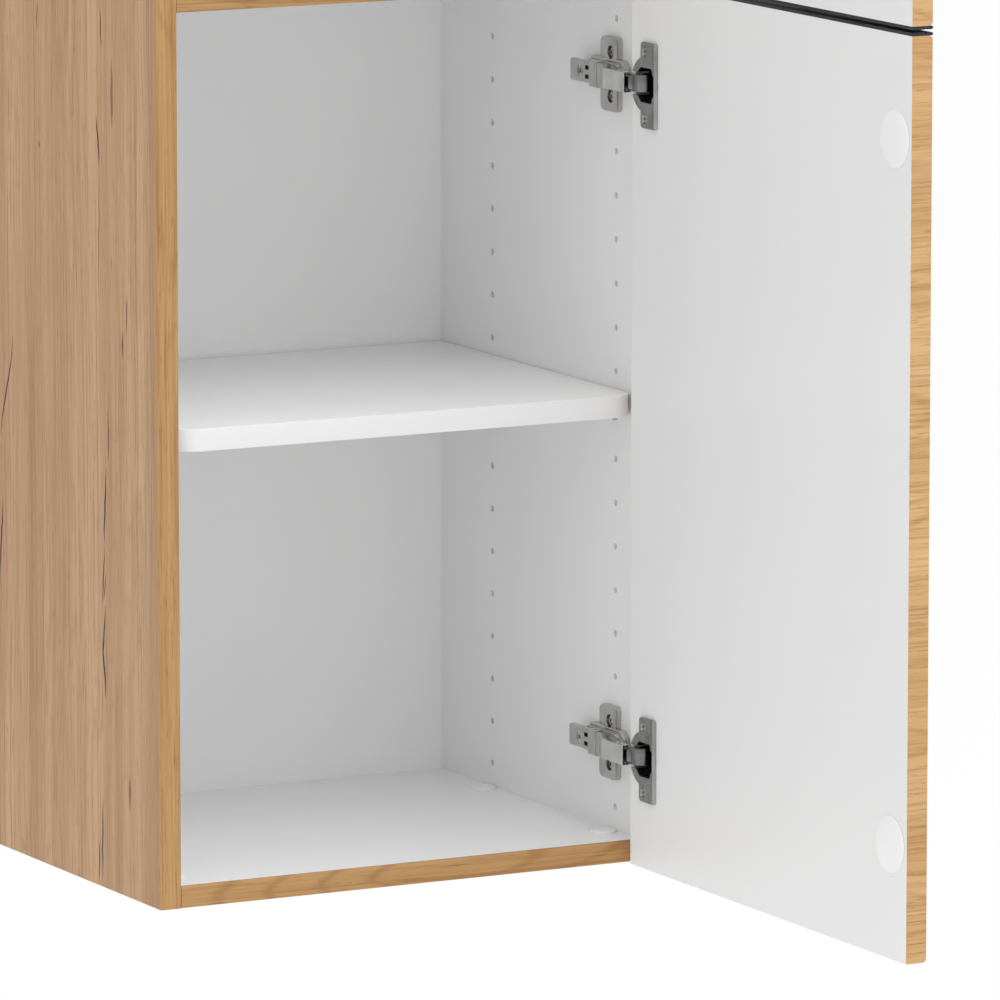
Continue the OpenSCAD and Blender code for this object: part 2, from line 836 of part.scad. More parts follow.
// Black strip over the whole edge, with a rounded lip outside the door face
module grip_profile(bay, top_grip) {
    z = top_grip ? door_zs[bay] + door_h - profile_h : door_zs[bay];
    r = profile_h / 2;
    color(black) {
        block([door_x0, door_y0, z], [door_x1 + profile_lip - r, door_y1, z + profile_h]);
        translate([door_x1 + profile_lip - r, door_y1, z + r]) rotate([90, 0, 0])
            cylinder(r = r, h = door_w);
    }
}

// Cap with a bevelled face and a spigot that fills a spare cup pocket
module cover_cap(z) {
    rim_t = cap_t / 2;
    rod_x(cap_d, door_x0 - rim_t, door_x0, cap_y, z);
    translate([door_x0 - rim_t, cap_y, z]) rotate([0, -90, 0])
        cylinder(d1 = cap_d, d2 = cap_d - 2 * cap_bevel, h = cap_t - rim_t);
    rod_x(pocket_d - 2 * FIT, door_x0, door_x0 + cap_spigot, cap_y, z);
}

module cover_caps(bay) {
    color(white) for (i = [2 * bay, 2 * bay + 1]) cover_cap(hinge_zs[i]);
}

module lower_door_panel() { door_panel(0, true); }
module lower_door_edge_bands() { door_edge_bands(0, true); }
module lower_grip_profile() { grip_profile(0, true); }
module lower_cover_caps() { cover_caps(0); }
module upper_door_panel() { door_panel(1, false); }
module upper_door_edge_bands() { door_edge_bands(1, false); }
module upper_grip_profile() { grip_profile(1, false); }
module upper_cover_caps() { cover_caps(1); }

left_side_panel();
right_side_panel();
bottom_panel();
divider_panel();
top_panel();
left_side_edge_band();
right_side_edge_band();
bottom_edge_band();
divider_edge_band();
top_edge_band();
back_panel();
hanging_rail();
lower_rail();
lower_shelf();
upper_shelf();
shelf_pins();
connector_housings();
connector_bolts();
dowels();
wall_hangers();
hanger_hooks();
hanger_screws();
hinge_1_plate();
hinge_2_plate();
hinge_3_plate();
hinge_4_plate();
hinge_1_arm();
hinge_2_arm();
hinge_3_arm();
hinge_4_arm();
hinge_1_inner_link();
hinge_2_inner_link();
hinge_3_inner_link();
hinge_4_inner_link();
hinge_1_outer_link();
hinge_2_outer_link();
hinge_3_outer_link();
hinge_4_outer_link();
hinge_1_cup();
hinge_2_cup();
hinge_3_cup();
hinge_4_cup();
plate_screws();
adjusting_screws();
arm_pins();
lower_cup_pins();
upper_cup_pins();
lower_cup_screws();
upper_cup_screws();
lower_door_panel();
lower_door_edge_bands();
lower_grip_profile();
lower_cover_caps();
upper_door_panel();
upper_door_edge_bands();
upper_grip_profile();
upper_cover_caps();
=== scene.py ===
import json
import math

import bmesh
import bpy
from mathutils import Matrix, Vector


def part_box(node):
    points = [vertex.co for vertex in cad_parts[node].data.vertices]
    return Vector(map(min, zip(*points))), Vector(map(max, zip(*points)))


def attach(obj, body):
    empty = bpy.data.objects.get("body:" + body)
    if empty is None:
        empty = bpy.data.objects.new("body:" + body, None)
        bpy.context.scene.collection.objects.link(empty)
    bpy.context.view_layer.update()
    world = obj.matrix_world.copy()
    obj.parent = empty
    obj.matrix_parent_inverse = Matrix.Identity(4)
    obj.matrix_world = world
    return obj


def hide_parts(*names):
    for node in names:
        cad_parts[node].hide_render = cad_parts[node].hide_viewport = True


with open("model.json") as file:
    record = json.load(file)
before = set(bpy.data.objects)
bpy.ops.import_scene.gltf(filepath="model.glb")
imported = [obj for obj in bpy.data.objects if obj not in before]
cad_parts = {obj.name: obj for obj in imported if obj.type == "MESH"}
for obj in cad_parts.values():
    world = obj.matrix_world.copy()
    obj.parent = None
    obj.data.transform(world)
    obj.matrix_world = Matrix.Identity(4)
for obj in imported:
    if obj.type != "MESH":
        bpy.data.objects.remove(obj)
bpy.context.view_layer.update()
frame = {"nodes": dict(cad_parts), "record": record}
nodes = frame["nodes"]
scene = bpy.context.scene

MM = 0.001
LEVELS = ("lower", "upper")
FLOOR_HEIGHT = -0.9
FLOOR_HALF = 60.0
HORIZON_STRENGTH = 0.53
ZENITH_STRENGTH = 1.2


# ---- Camera, light and floor ----

def make_camera():
    """The camera of the photograph: a long lens, a little above the middle, from the left."""
    data = bpy.data.cameras.new("camera")
    data.sensor_width = 36.0
    data.lens = 347.58
    data.clip_end = 100.0
    camera = bpy.data.objects.new("camera", data)
    camera.location = (-3.0948, -6.3563, 1.3794)
    camera.rotation_euler = (math.radians(80.77), 0.0, math.radians(-27.708))
    scene.collection.objects.link(camera)
    scene.camera = camera


def make_area_light(name, location, target, size, power):
    data = bpy.data.lights.new(name, "AREA")
    data.shape = "SQUARE"
    data.size = size
    data.energy = power
    light = bpy.data.objects.new(name, data)
    light.location = location
    way = Vector(target) - Vector(location)
    light.rotation_euler = way.to_track_quat("-Z", "Y").to_euler()
    scene.collection.objects.link(light)


def make_world(low, high):
    """A white studio that grows brighter from the horizon to the top, as under a big ceiling light."""
    world = bpy.data.worlds.new("studio")
    world.use_nodes = True
    tree = world.node_tree
    background = tree.nodes["Background"]
    background.inputs["Color"].default_value = (1.0, 1.0, 1.0, 1.0)
    place = tree.nodes.new("ShaderNodeTexCoord")
    axes = tree.nodes.new("ShaderNodeSeparateXYZ")
    climb = tree.nodes.new("ShaderNodeMapRange")
    climb.interpolation_type = "SMOOTHSTEP"
    for socket, number in zip(climb.inputs[1:5], (0.05, 0.75, low, high)):
        socket.default_value = number
    tree.links.new(place.outputs["Generated"], axes.inputs[0])
    tree.links.new(axes.outputs[2], climb.inputs[0])
    tree.links.new(climb.outputs[0], background.inputs["Strength"])
    scene.world = world


def make_floor(height, half):
    mesh = bpy.data.meshes.new("studio_floor")
    plan = [(-half, -half), (half, -half), (half, half), (-half, half)]
    corners = [(x, y, height) for x, y in plan]
    mesh.from_pydata(corners, [], [(0, 1, 2, 3)])
    floor = bpy.data.objects.new("studio_floor", mesh)
    scene.collection.objects.link(floor)
    material = bpy.data.materials.new("studio_floor")
    material.use_nodes = True
    shader = material.node_tree.nodes["Principled BSDF"]
    shader.inputs["Base Color"].default_value = (0.5, 0.5, 0.5, 1.0)
    shader.inputs["Roughness"].default_value = 0.9
    shader.inputs["Emission Color"].default_value = (1.0, 1.0, 1.0, 1.0)
    shader.inputs["Emission Strength"].default_value = 0.42
    mesh.materials.append(material)


# ---- Node helpers ----

class Shade:
    """A material being built: short ways to add nodes and join them."""

    def __init__(self, name):
        self.material = bpy.data.materials.new(name)
        self.material.use_nodes = True
        self.tree = self.material.node_tree
        self.shader = self.tree.nodes["Principled BSDF"]

    def set(self, socket, value):
        self.shader.inputs[socket].default_value = value

    def join(self, source, target):
        self.tree.links.new(source, target)

    def place(self):
        """Object coordinates, which are the row frame in metres."""
        return self.tree.nodes.new("ShaderNodeTexCoord").outputs["Object"]

    def scaled(self, vector, scale, offset=(0.0, 0.0, 0.0)):
        node = self.tree.nodes.new("ShaderNodeMapping")
        node.inputs["Scale"].default_value = scale
        node.inputs["Location"].default_value = offset
        self.join(vector, node.inputs["Vector"])
        return node.outputs[0]

    def noise(self, vector, scale=1.0, detail=2.0, rough=0.5):
        node = self.tree.nodes.new("ShaderNodeTexNoise")
        node.inputs["Scale"].default_value = scale
        node.inputs["Detail"].default_value = detail
        node.inputs["Roughness"].default_value = rough
        self.join(vector, node.inputs["Vector"])
        return node.outputs["Fac"]

    def math(self, kind, first, second=0.0, third=0.0):
        node = self.tree.nodes.new("ShaderNodeMath")
        node.operation = kind
        for socket, value in zip(node.inputs, (first, second, third)):
            if isinstance(value, (int, float)):
                socket.default_value = value
            else:
                self.join(value, socket)
        return node.outputs[0]

    def map(self, value, low, high, to_low=0.0, to_high=1.0):
        node = self.tree.nodes.new("ShaderNodeMapRange")
        node.interpolation_type = "SMOOTHSTEP"
        for socket, number in zip(node.inputs, (value, low, high, to_low, to_high)):
            if isinstance(number, (int, float)):
                socket.default_value = number
            else:
                self.join(number, socket)
        return node.outputs[0]

    def mix(self, factor, first, second):
        node = self.tree.nodes.new("ShaderNodeMix")
        node.data_type = "RGBA"
        for number, value in ((0, factor), (6, first), (7, second)):
            socket = node.inputs[number]
            if isinstance(value, (int, float)):
                socket.default_value = value
            elif isinstance(value, tuple):
                socket.default_value = (*value, 1.0)
            else:
                self.join(value, socket)
        return node.outputs[2]

    def axes(self, vector):
        node = self.tree.nodes.new("ShaderNodeSeparateXYZ")
        self.join(vector, node.inputs[0])
        return node.outputs

    def vector(self, x, y, z):
        node = self.tree.nodes.new("ShaderNodeCombineXYZ")
        for socket, value in zip(node.inputs, (x, y, z)):
            if isinstance(value, (int, float)):
                socket.default_value = value
            else:
                self.join(value, socket)
        return node.outputs[0]

    def bump(self, height, strength, distance):
        node = self.tree.nodes.new("ShaderNodeBump")
        node.inputs["Strength"].default_value = strength
        node.inputs["Distance"].default_value = distance
        self.join(height, node.inputs["Height"])
        self.join(node.outputs[0], self.shader.inputs["Normal"])


def srgb(red, green, blue):
    """A colour given in display values from 0 to 255, in the linear values that a shader takes."""
    linear = []
    for value in (red, green, blue):
        share = value / 255.0
        linear.append(share / 12.92 if share <= 0.04045 else ((share + 0.055) / 1.055) ** 2.4)
    return tuple(linear)


# ---- Wood ----

OAK_BOARD = {"light": srgb(199, 163, 125), "dark": srgb(177, 138, 102), "line": srgb(148, 109, 79),
             "blush": srgb(174, 133, 103), "pore": srgb(102, 71, 50)}
OAK_EDGE = {"light": srgb(202, 162, 111), "dark": srgb(179, 137, 87), "line": srgb(150, 104, 62),
            "blush": srgb(185, 138, 89), "pore": srgb(113, 74, 43)}
OAK_DOOR = {"light": srgb(220, 181, 130), "dark": srgb(201, 159, 106), "line": srgb(166, 121, 76),
            "blush": srgb(205, 160, 112), "pore": srgb(126, 86, 52)}
BEECH = {"light": srgb(222, 190, 150), "dark": srgb(206, 172, 130), "line": srgb(178, 140, 100),
         "blush": srgb(212, 172, 134), "pore": srgb(150, 112, 76)}
RAW_DARK = srgb(200, 194, 186)
RAW_LIGHT = srgb(226, 221, 213)
WHITE_TONES = (srgb(246, 246, 246), srgb(249, 249, 249))
# Painted shade: a darker copy of the board white for the door's inner face
WHITE_DOOR_TONES = (srgb(238, 238, 238), srgb(241, 241, 241))
# Painted light: a lighter copy of the board white for the shaded back wall
WHITE_BACK_TONES = (srgb(252, 252, 252), srgb(254, 254, 254))
# Painted shade: a darker copy of the board white for the shelves' front edges
WHITE_EDGE_TONES = (srgb(234, 234, 234), srgb(238, 238, 238))
# Painted light: near-white bore walls, lighter than the board white, against the shade in the holes
HOLE_LIGHT_TONES = (srgb(251, 250, 249), srgb(254, 254, 253))

# Cracks of the side panels: start (y, z), end (y, z) and half width, in mm
CRACK_COLOUR = srgb(56, 40, 34)
KNOT_COLOUR = srgb(96, 60, 54)
LEFT_CRACKS = [
    (-134.1, 627.0, -133.8, 604.0, 0.5), (-239.0, 632.0, -240.4, 602.0, 0.6),
    (-231.6, 556.0, -236.0, 518.0, 0.9), (-235.3, 516.0, -233.3, 420.0, 0.35),
    (-279.9, 434.0, -279.4, 404.0, 0.45), (-88.0, 380.0, -67.0, 300.0, 0.8),
    (-69.0, 262.0, -62.5, 190.0, 0.9), (-247.6, 350.0, -248.3, 308.0, 0.55),
    (-243.4, 306.0, -240.4, 248.0, 0.95), (-240.6, 250.0, -237.0, 204.0, 0.6),
    (-242.6, 230.0, -239.0, 206.0, 0.5), (-241.0, 206.0, -236.8, 162.0, 0.8),
    (-236.6, 182.0, -240.9, 136.0, 1.0), (-235.0, 66.0, -234.0, 0.5, 0.7),
    (-229.8, 36.0, -228.4, 0.5, 0.6), (-120.0, 980.0, -126.0, 870.0, 0.9),
    (-222.0, 1180.0, -226.0, 1075.0, 0.8), (-271.0, 940.0, -268.0, 890.0, 0.6),
    (-52.0, 1110.0, -49.0, 1030.0, 0.6), (-182.0, 790.0, -186.0, 735.0, 0.6),
]
RIGHT_CRACKS = [
    (-90.0, 1010.0, -97.0, 905.0, 0.9), (-214.0, 640.0, -210.0, 560.0, 0.9),
    (-260.0, 300.0, -264.0, 215.0, 0.8), (-150.0, 380.0, -146.0, 330.0, 0.6),
    (-236.0, 1200.0, -231.0, 1130.0, 0.7), (-60.0, 160.0, -63.0, 60.0, 0.8),
]
# Knots of the side panels: centre (y, z), half width and half height, in mm
LEFT_KNOTS = [(-135.6, 523.5, 1.5, 2.6), (-279.8, 76.0, 2.3, 13.0), (-257.0, 572.0, 2.4, 24.0),
              (-272.6, 396.0, 1.9, 11.0), (-140.0, 900.0, 4.0, 15.0), (-60.0, 760.0, 2.4, 5.0)]
RIGHT_KNOTS = [(-100.0, 470.0, 3.0, 12.0), (-240.0, 820.0, 2.0, 8.0), (-170.0, 1120.0, 2.4, 5.0)]


def wood_scales(grain, across, along):
    """Scale along each axis of a noise that is stretched along the grain; both lengths are in mm."""
    scales = [1000.0 / across] * 3
    scales[grain] = 1000.0 / along
    return tuple(scales)


def wood(shade, place, grain, colours, figure=0.35, seed=0.0):
    """Colour and height of a wood surface whose grain runs along axis number grain."""
    shift = (seed, seed * 1.7, seed * 0.6)
    sway = shade.noise(shade.scaled(place, wood_scales(grain, 140.0, 260.0), shift), 1.0, 1.0)
    sway = shade.math("MULTIPLY", shade.math("SUBTRACT", sway, 0.5), 0.012)
    axes = shade.axes(place)
    moved = [axes[i] if i == grain else shade.math("ADD", axes[i], sway) for i in range(3)]
    bent = shade.vector(*moved)
    tone = shade.noise(shade.scaled(bent, wood_scales(grain, 34.0, 2600.0), shift), 1.0, 3.0, 0.55)
    blush = shade.noise(shade.scaled(bent, wood_scales(grain, 60.0, 700.0), shift), 1.3, 2.0)
    streak = shade.noise(shade.scaled(bent, wood_scales(grain, 5.2, 620.0), shift), 1.0, 3.0, 0.6)
    fibre = shade.noise(shade.scaled(bent, wood_scales(grain, 1.5, 70.0), shift), 1.0, 2.0, 0.6)
    pore = shade.noise(shade.scaled(bent, wood_scales(grain, 0.95, 16.0), shift), 1.0, 1.0)
    pin = shade.noise(shade.scaled(bent, wood_scales(grain, 1.5, 700.0), shift), 1.0, 1.0)
    swell = shade.noise(shade.scaled(place, wood_scales(grain, 62.0, 420.0), shift), 1.0, 1.0)
    rings = shade.math("FRACT", shade.math("MULTIPLY", swell, 15.0))
    rings = shade.math("ABSOLUTE", shade.math("SUBTRACT", rings, 0.5))
    ring_line = shade.map(rings, 0.5, 0.28, 0.0, 1.0)
    colour = shade.mix(shade.map(tone, 0.32, 0.68), colours["dark"], colours["light"])
    colour = shade.mix(shade.map(blush, 0.52, 0.75, 0.0, 0.6), colour, colours["blush"])
    ring_share = shade.math("MULTIPLY", shade.math("SUBTRACT", 1.0, ring_line), figure)
    colour = shade.mix(shade.math("MULTIPLY", ring_share, 0.6), colour, colours["line"])
    colour = shade.mix(shade.map(streak, 0.54, 0.72, 0.0, 0.42), colour, colours["line"])
    colour = shade.mix(shade.map(streak, 0.46, 0.30, 0.0, 0.35), colour, colours["light"])
    colour = shade.mix(shade.map(fibre, 0.50, 0.78, 0.0, 0.40), colour, colours["line"])
    colour = shade.mix(shade.map(pore, 0.62, 0.76, 0.0, 0.45), colour, colours["pore"])
    colour = shade.mix(shade.map(pin, 0.55, 0.70, 0.0, 0.50), colour, colours["line"])
    colour = shade.mix(shade.map(pin, 0.43, 0.32, 0.0, 0.35), colour, colours["light"])
    height = shade.math("ADD", fibre, shade.math("MULTIPLY", streak, 0.6))
    return colour, height


def crack_mask(shade, place, cracks):
    """1 in the middle of each crack, falling to 0 at its edge, for cracks that run along Z."""
    axes = shade.axes(place)
    wander = shade.noise(shade.scaled(place, (0.0, 0.0, 55.0)), 1.0, 2.0)
    wander = shade.math("MULTIPLY", shade.math("SUBTRACT", wander, 0.5), 4.0)
    y = shade.math("ADD", shade.math("MULTIPLY", axes[1], 1000.0), wander)
    z = shade.math("MULTIPLY", axes[2], 1000.0)
    total = 0.0
    for y0, z0, y1, z1, half in cracks:
        share = shade.map(z, z0, z1)
        middle = shade.math("MULTIPLY_ADD", share, y1 - y0, y0)
        distance = shade.math("ABSOLUTE", shade.math("SUBTRACT", y, middle))
        ends = shade.math("MULTIPLY", share, shade.math("SUBTRACT", 1.0, share))
        width = shade.math("MULTIPLY_ADD", shade.math("SQRT", ends), 3.2 * half, 0.02)
        inside = shade.map(shade.math("DIVIDE", distance, width), 0.5, 1.0, 1.0, 0.0)
        there = shade.math("GREATER_THAN", ends, 0.0004)
        total = shade.math("MAXIMUM", total, shade.math("MULTIPLY", inside, there))
    return total


def knot_mask(shade, place, knots):
    """1 in the middle of each small knot, falling to 0 outside it."""
    axes = shade.axes(place)
    wobble = shade.noise(shade.scaled(place, (300.0, 420.0, 90.0)), 1.0, 2.0)
    total = 0.0
    for y0, z0, half_y, half_z in knots:
        along_y = shade.math("MULTIPLY_ADD", axes[1], 1000.0 / half_y, -y0 / half_y)
        along_z = shade.math("MULTIPLY_ADD", axes[2], 1000.0 / half_z, -z0 / half_z)
        far = shade.math("ADD", shade.math("POWER", along_y, 2.0), shade.math("POWER", along_z, 2.0))
        far = shade.math("ADD", far, shade.math("MULTIPLY_ADD", wobble, 1.6, -0.8))
        total = shade.math("MAXIMUM", total, shade.map(far, 0.1, 1.3, 1.0, 0.0))
    return total


def white_colour(shade, place, tones):
    """Two very close whites in wide soft clouds."""
    cloud = shade.noise(shade.scaled(place, (9.0, 9.0, 9.0)), 1.0, 2.0)
    return shade.mix(cloud, tones[0], tones[1])


def board_material(name, cracks, knots):
    """Rustic oak decor with an upright grain, open cracks and small knots."""
    shade = Shade(name)
    place = shade.place()
    colour, height = wood(shade, place, 2, OAK_BOARD, 0.22)
    crack = crack_mask(shade, place, cracks)
    knot = knot_mask(shade, place, knots)
    colour = shade.mix(shade.math("MULTIPLY", knot, 0.7), colour, KNOT_COLOUR)
    colour = shade.mix(crack, colour, CRACK_COLOUR)
    shade.join(colour, shade.shader.inputs["Base Color"])
    shade.join(shade.map(height, 0.4, 1.2, 0.44, 0.54), shade.shader.inputs["Roughness"])
    shade.set("Specular IOR Level", 0.22)
    shade.bump(shade.math("SUBTRACT", height, shade.math("MULTIPLY", crack, 1.5)), 0.25, 0.0003)
    return shade.material


def raw_board_material():
    """Cut chipboard: small pale and dark flakes."""
    shade = Shade("raw_board")
    place = shade.place()
    flakes = shade.noise(shade.scaled(place, (700.0, 700.0, 420.0)), 1.0, 3.0, 0.7)
    colour = shade.mix(shade.map(flakes, 0.35, 0.65), RAW_DARK, RAW_LIGHT)
    shade.join(colour, shade.shader.inputs["Base Color"])
    shade.join(shade.map(flakes, 0.3, 0.7, 0.7, 0.85), shade.shader.inputs["Roughness"])
    shade.set("Specular IOR Level", 0.2)
    shade.bump(flakes, 0.3, 0.0004)
    return shade.material


def wood_material(name, grain, colours, figure, seed=0.0):
    """Plain wood or oak decor whose grain runs along axis number grain."""
    shade = Shade(name)
    colour, height = wood(shade, shade.place(), grain, colours, figure, seed)
    shade.join(colour, shade.shader.inputs["Base Color"])
    shade.join(shade.map(height, 0.4, 1.2, 0.40, 0.50), shade.shader.inputs["Roughness"])
    shade.set("Specular IOR Level", 0.22)
    shade.bump(height, 0.25, 0.0003)
    return shade.material


def white_material(name, rough, grain_mm, relief, tones=WHITE_TONES):
    """Satin white melamine or plastic with a very fine orange peel."""
    shade = Shade(name)
    place = shade.place()
    shade.join(white_colour(shade, place, tones), shade.shader.inputs["Base Color"])
    peel = shade.noise(shade.scaled(place, (1000.0 / grain_mm,) * 3), 1.0, 2.0)
    shade.join(shade.map(peel, 0.3, 0.7, rough - 0.04, rough + 0.04), shade.shader.inputs["Roughness"])
    shade.bump(peel, relief, 0.0001)
    return shade.material


def metal_material(name, light, dark, rough, brush_axis, brush=0.015):
    """Plated steel with fine brush marks along one axis and faint cloudy tarnish."""
    shade = Shade(name)
    place = shade.place()
    marks = shade.noise(shade.scaled(place, wood_scales(brush_axis, 0.35, 14.0)), 1.0, 2.0)
    cloud = shade.noise(shade.scaled(place, (90.0, 90.0, 90.0)), 1.0, 2.0)
    colour = shade.mix(shade.map(cloud, 0.3, 0.7), dark, light)
    colour = shade.mix(shade.map(marks, 0.5, 0.8, 0.0, 0.08), colour, dark)
    shade.join(colour, shade.shader.inputs["Base Color"])
    shade.set("Metallic", 1.0)
    shade.join(shade.map(marks, 0.3, 0.7, rough - 0.02, rough + 0.02), shade.shader.inputs["Roughness"])
    shade.bump(marks, brush, 0.0001)
    return shade.material


materials = {
    "oak_board_left": board_material("oak_board_left", LEFT_CRACKS, LEFT_KNOTS),
    "oak_board_right": board_material("oak_board_right", RIGHT_CRACKS, RIGHT_KNOTS),
    "oak_board_level": wood_material("oak_board_level", 0, OAK_BOARD, 0.4, 3.1),
    "raw_board": raw_board_material(),
    "oak_edge_upright": wood_material("oak_edge_upright", 2, OAK_EDGE, 0.35, 1.3),
    "oak_edge_level": wood_material("oak_edge_level", 0, OAK_EDGE, 0.8, 2.2),
    "oak_door_edge": wood_material("oak_door_edge", 0, OAK_DOOR, 0.6, 4.7),
    "door_board": wood_material("door_board", 1, OAK_DOOR, 0.5, 3.1),
    "white_board": white_material("white_board", 0.38, 1.6, 0.05),
    "white_door": white_material("white_door", 0.38, 1.6, 0.05, WHITE_DOOR_TONES),
    "white_back": white_material("white_back", 0.45, 1.6, 0.05, WHITE_BACK_TONES),
    "white_edge": white_material("white_edge", 0.45, 1.6, 0.05, WHITE_EDGE_TONES),
    "white_plastic": white_material("white_plastic", 0.34, 3.0, 0.03),
    # Painted light: the near-white lining of the bores
    "hole_painted_light": white_material("hole_painted_light", 0.6, 1.2, 0.05, HOLE_LIGHT_TONES),
    "nickel": metal_material("nickel", (0.57, 0.57, 0.56), (0.49, 0.49, 0.48), 0.24, 1),
    # Painted highlight: a lighter copy of the nickel for the lit front face of the arm
    "nickel_painted_highlight": metal_material("nickel_painted_highlight", (0.74, 0.74, 0.73), (0.66, 0.66, 0.65), 0.24, 1),
    "nickel_cup": metal_material("nickel_cup", (0.35, 0.35, 0.345), (0.29, 0.29, 0.285), 0.27, 2),
    "shadow_black": metal_material("shadow_black", (0.03, 0.03, 0.03), (0.012, 0.012, 0.012), 0.5, 1),
    # Dark steel, also used as painted shade in the plate's screw seats and on the hinge links
    "dark_steel": metal_material("dark_steel", (0.26, 0.26, 0.26), (0.15, 0.15, 0.15), 0.28, 1),
    "zinc_steel": metal_material("zinc_steel", (0.56, 0.56, 0.555), (0.42, 0.42, 0.415), 0.2, 0),
    "beech": wood_material("beech", 0, BEECH, 0.3, 6.0),
}


def black_material():
    """Black anodised aluminium with fine drawing lines along the profile."""
    shade = Shade("black_profile")
    place = shade.place()
    lines = shade.noise(shade.scaled(place, wood_scales(1, 0.3, 60.0)), 1.0, 2.0)
    dust = shade.noise(shade.scaled(place, (200.0, 200.0, 200.0)), 1.0, 2.0)
    colour = shade.mix(shade.map(dust, 0.4, 0.7), srgb(26, 27, 28), srgb(38, 39, 40))
    shade.join(colour, shade.shader.inputs["Base Color"])
    shade.join(shade.map(lines, 0.3, 0.7, 0.28, 0.40), shade.shader.inputs["Roughness"])
    shade.bump(lines, 0.1, 0.0001)
    return shade.material


materials["black_profile"] = black_material()

NODE_MATERIALS = {
    "oak_board": "white_board", "door_board": "door_board", "oak_edge": "oak_edge_upright",
}
# The back panel takes the lighter white as painted light
SINGLE_MATERIALS = {"back_panel": "white_back", "bottom_edge_band": "oak_edge_level",
                    "divider_edge_band": "oak_edge_level", "top_edge_band": "oak_edge_level"}


def paint_nodes():
    """Gives every CAD node the material of its record slot, or the one named above."""
    slots = {part["node"]: part["material_slot"] for part in frame["record"]["subparts"]}
    for name, node in nodes.items():
        usual = NODE_MATERIALS.get(slots[name], slots[name])
        chosen = SINGLE_MATERIALS.get(name, usual)
        node.data.materials.clear()
        node.data.materials.append(materials[chosen])


# ---- Mesh helpers ----

class Solid:
    """A closed mesh in a local frame in mm, built up from rings and cut by other solids."""

    def __init__(self):
        self.verts = []
        self.faces = []

    def loft(self, rings):
        """Joins rings of equal length one after another and closes both ends."""
        start = len(self.verts)
        count = len(rings[0])
        for ring in rings:
            self.verts += [tuple(point) for point in ring]
        for k in range(len(rings) - 1):
            for i in range(count):
                a = start + k * count + i
                b = start + k * count + (i + 1) % count
                self.faces.append((a, b, b + count, a + count))
        self.faces.append(tuple(range(start + count - 1, start - 1, -1)))
        last = start + (len(rings) - 1) * count
        self.faces.append(tuple(range(last, last + count)))
        return self

    def prism(self, outline, low, high, axis):
        """Extrudes an outline along an axis number; the outline gives the other two in order."""
        self.loft([[at_axis(point, value, axis) for point in outline] for value in (low, high)])
        return self

    def turn(self, profile, centre, axis, count=32):
        """Turns a profile of (height, radius) about an axis; centre gives the other two axes."""
        rings = []
        for height, radius in profile:
            ring = []
            for i in range(count):
                angle = 2.0 * math.pi * i / count
                point = (centre[0] + radius * math.cos(angle), centre[1] + radius * math.sin(angle))
                ring.append(at_axis(point, height, axis))
            rings.append(ring)
        return self.loft(rings)

    def object(self, name):
        """The solid as a Blender object, with its faces turned outwards."""
        mesh = bpy.data.meshes.new(name)
        mesh.from_pydata(self.verts, [], self.faces)
        made = bpy.data.objects.new(name, mesh)
        scene.collection.objects.link(made)
        work = bmesh.new()
        work.from_mesh(mesh)
        bmesh.ops.recalc_face_normals(work, faces=work.faces)
        work.to_mesh(mesh)
        work.free()
        return made


def at_axis(point, value, axis):
    """A point of a plan put at a value along the axis that the plan leaves out."""
    if axis == 0:
        return (value, point[0], point[1])
    if axis == 1:
        return (point[0], value, point[1])
    return (point[0], point[1], value)


def rounded(corners, radius, steps=5):
    """Outline with each corner replaced by an arc; radius is one number or one for each corner."""
    radii = radius if isinstance(radius, (list, tuple)) else [radius] * len(corners)
    outline = []
    for i, corner in enumerate(corners):
        here = Vector(corner)
        before = (Vector(corners[i - 1]) - here).normalized()
        after = (Vector(corners[(i + 1) % len(corners)]) - here).normalized()
        if radii[i] <= 0.0:
            outline.append(tuple(here))
            continue
        half = before.angle(after) / 2.0
        reach = radii[i] / math.tan(half)
        centre = here + (before + after).normalized() * (radii[i] / math.sin(half))
        first = here + before * reach - centre
        last = here + after * reach - centre
        turn = first.angle_signed(last)
        for k in range(steps + 1):
            part = Matrix.Rotation(-turn * k / steps, 2) @ first
            outline.append(tuple(centre + part))
    return outline


def apply_modifiers(piece):
    bpy.context.view_layer.update()
    graph = bpy.context.evaluated_depsgraph_get()
    mesh = bpy.data.meshes.new_from_object(piece.evaluated_get(graph))
    old = piece.data
    piece.modifiers.clear()
    piece.data = mesh
    bpy.data.meshes.remove(old)


def combine(piece, other, kind):
    """Joins or cuts piece with other, which is used up."""
    modifier = piece.modifiers.new(kind, "BOOLEAN")
    modifier.operation = kind
    modifier.solver = "EXACT"
    modifier.object = other
    apply_modifiers(piece)
    bpy.data.objects.remove(other)
    return piece


def soften(piece, width, steps=2, angle=35.0):
    """Rounds every edge sharper than the angle and shades the piece smooth."""
    modifier = piece.modifiers.new("edges", "BEVEL")
    modifier.width = width
    modifier.segments = steps
    modifier.limit_method = "ANGLE"
    modifier.angle_limit = math.radians(angle)
    modifier.use_clamp_overlap = True
    apply_modifiers(piece)
    return piece


def smooth(piece, angle=38.0):
    piece.data.shade_smooth()
    piece.data.set_sharp_from_angle(angle=math.radians(angle))
    return piece


def merge(pieces):
    """Several pieces as one object, with their meshes side by side."""
    work = bmesh.new()
    for piece in pieces:
        work.from_mesh(piece.data)
    mesh = bpy.data.meshes.new(pieces[0].data.name)
    work.to_mesh(mesh)
    work.free()
    pieces[0].data = mesh
    for piece in pieces[1:]:
        bpy.data.objects.remove(piece)
    return pieces[0]


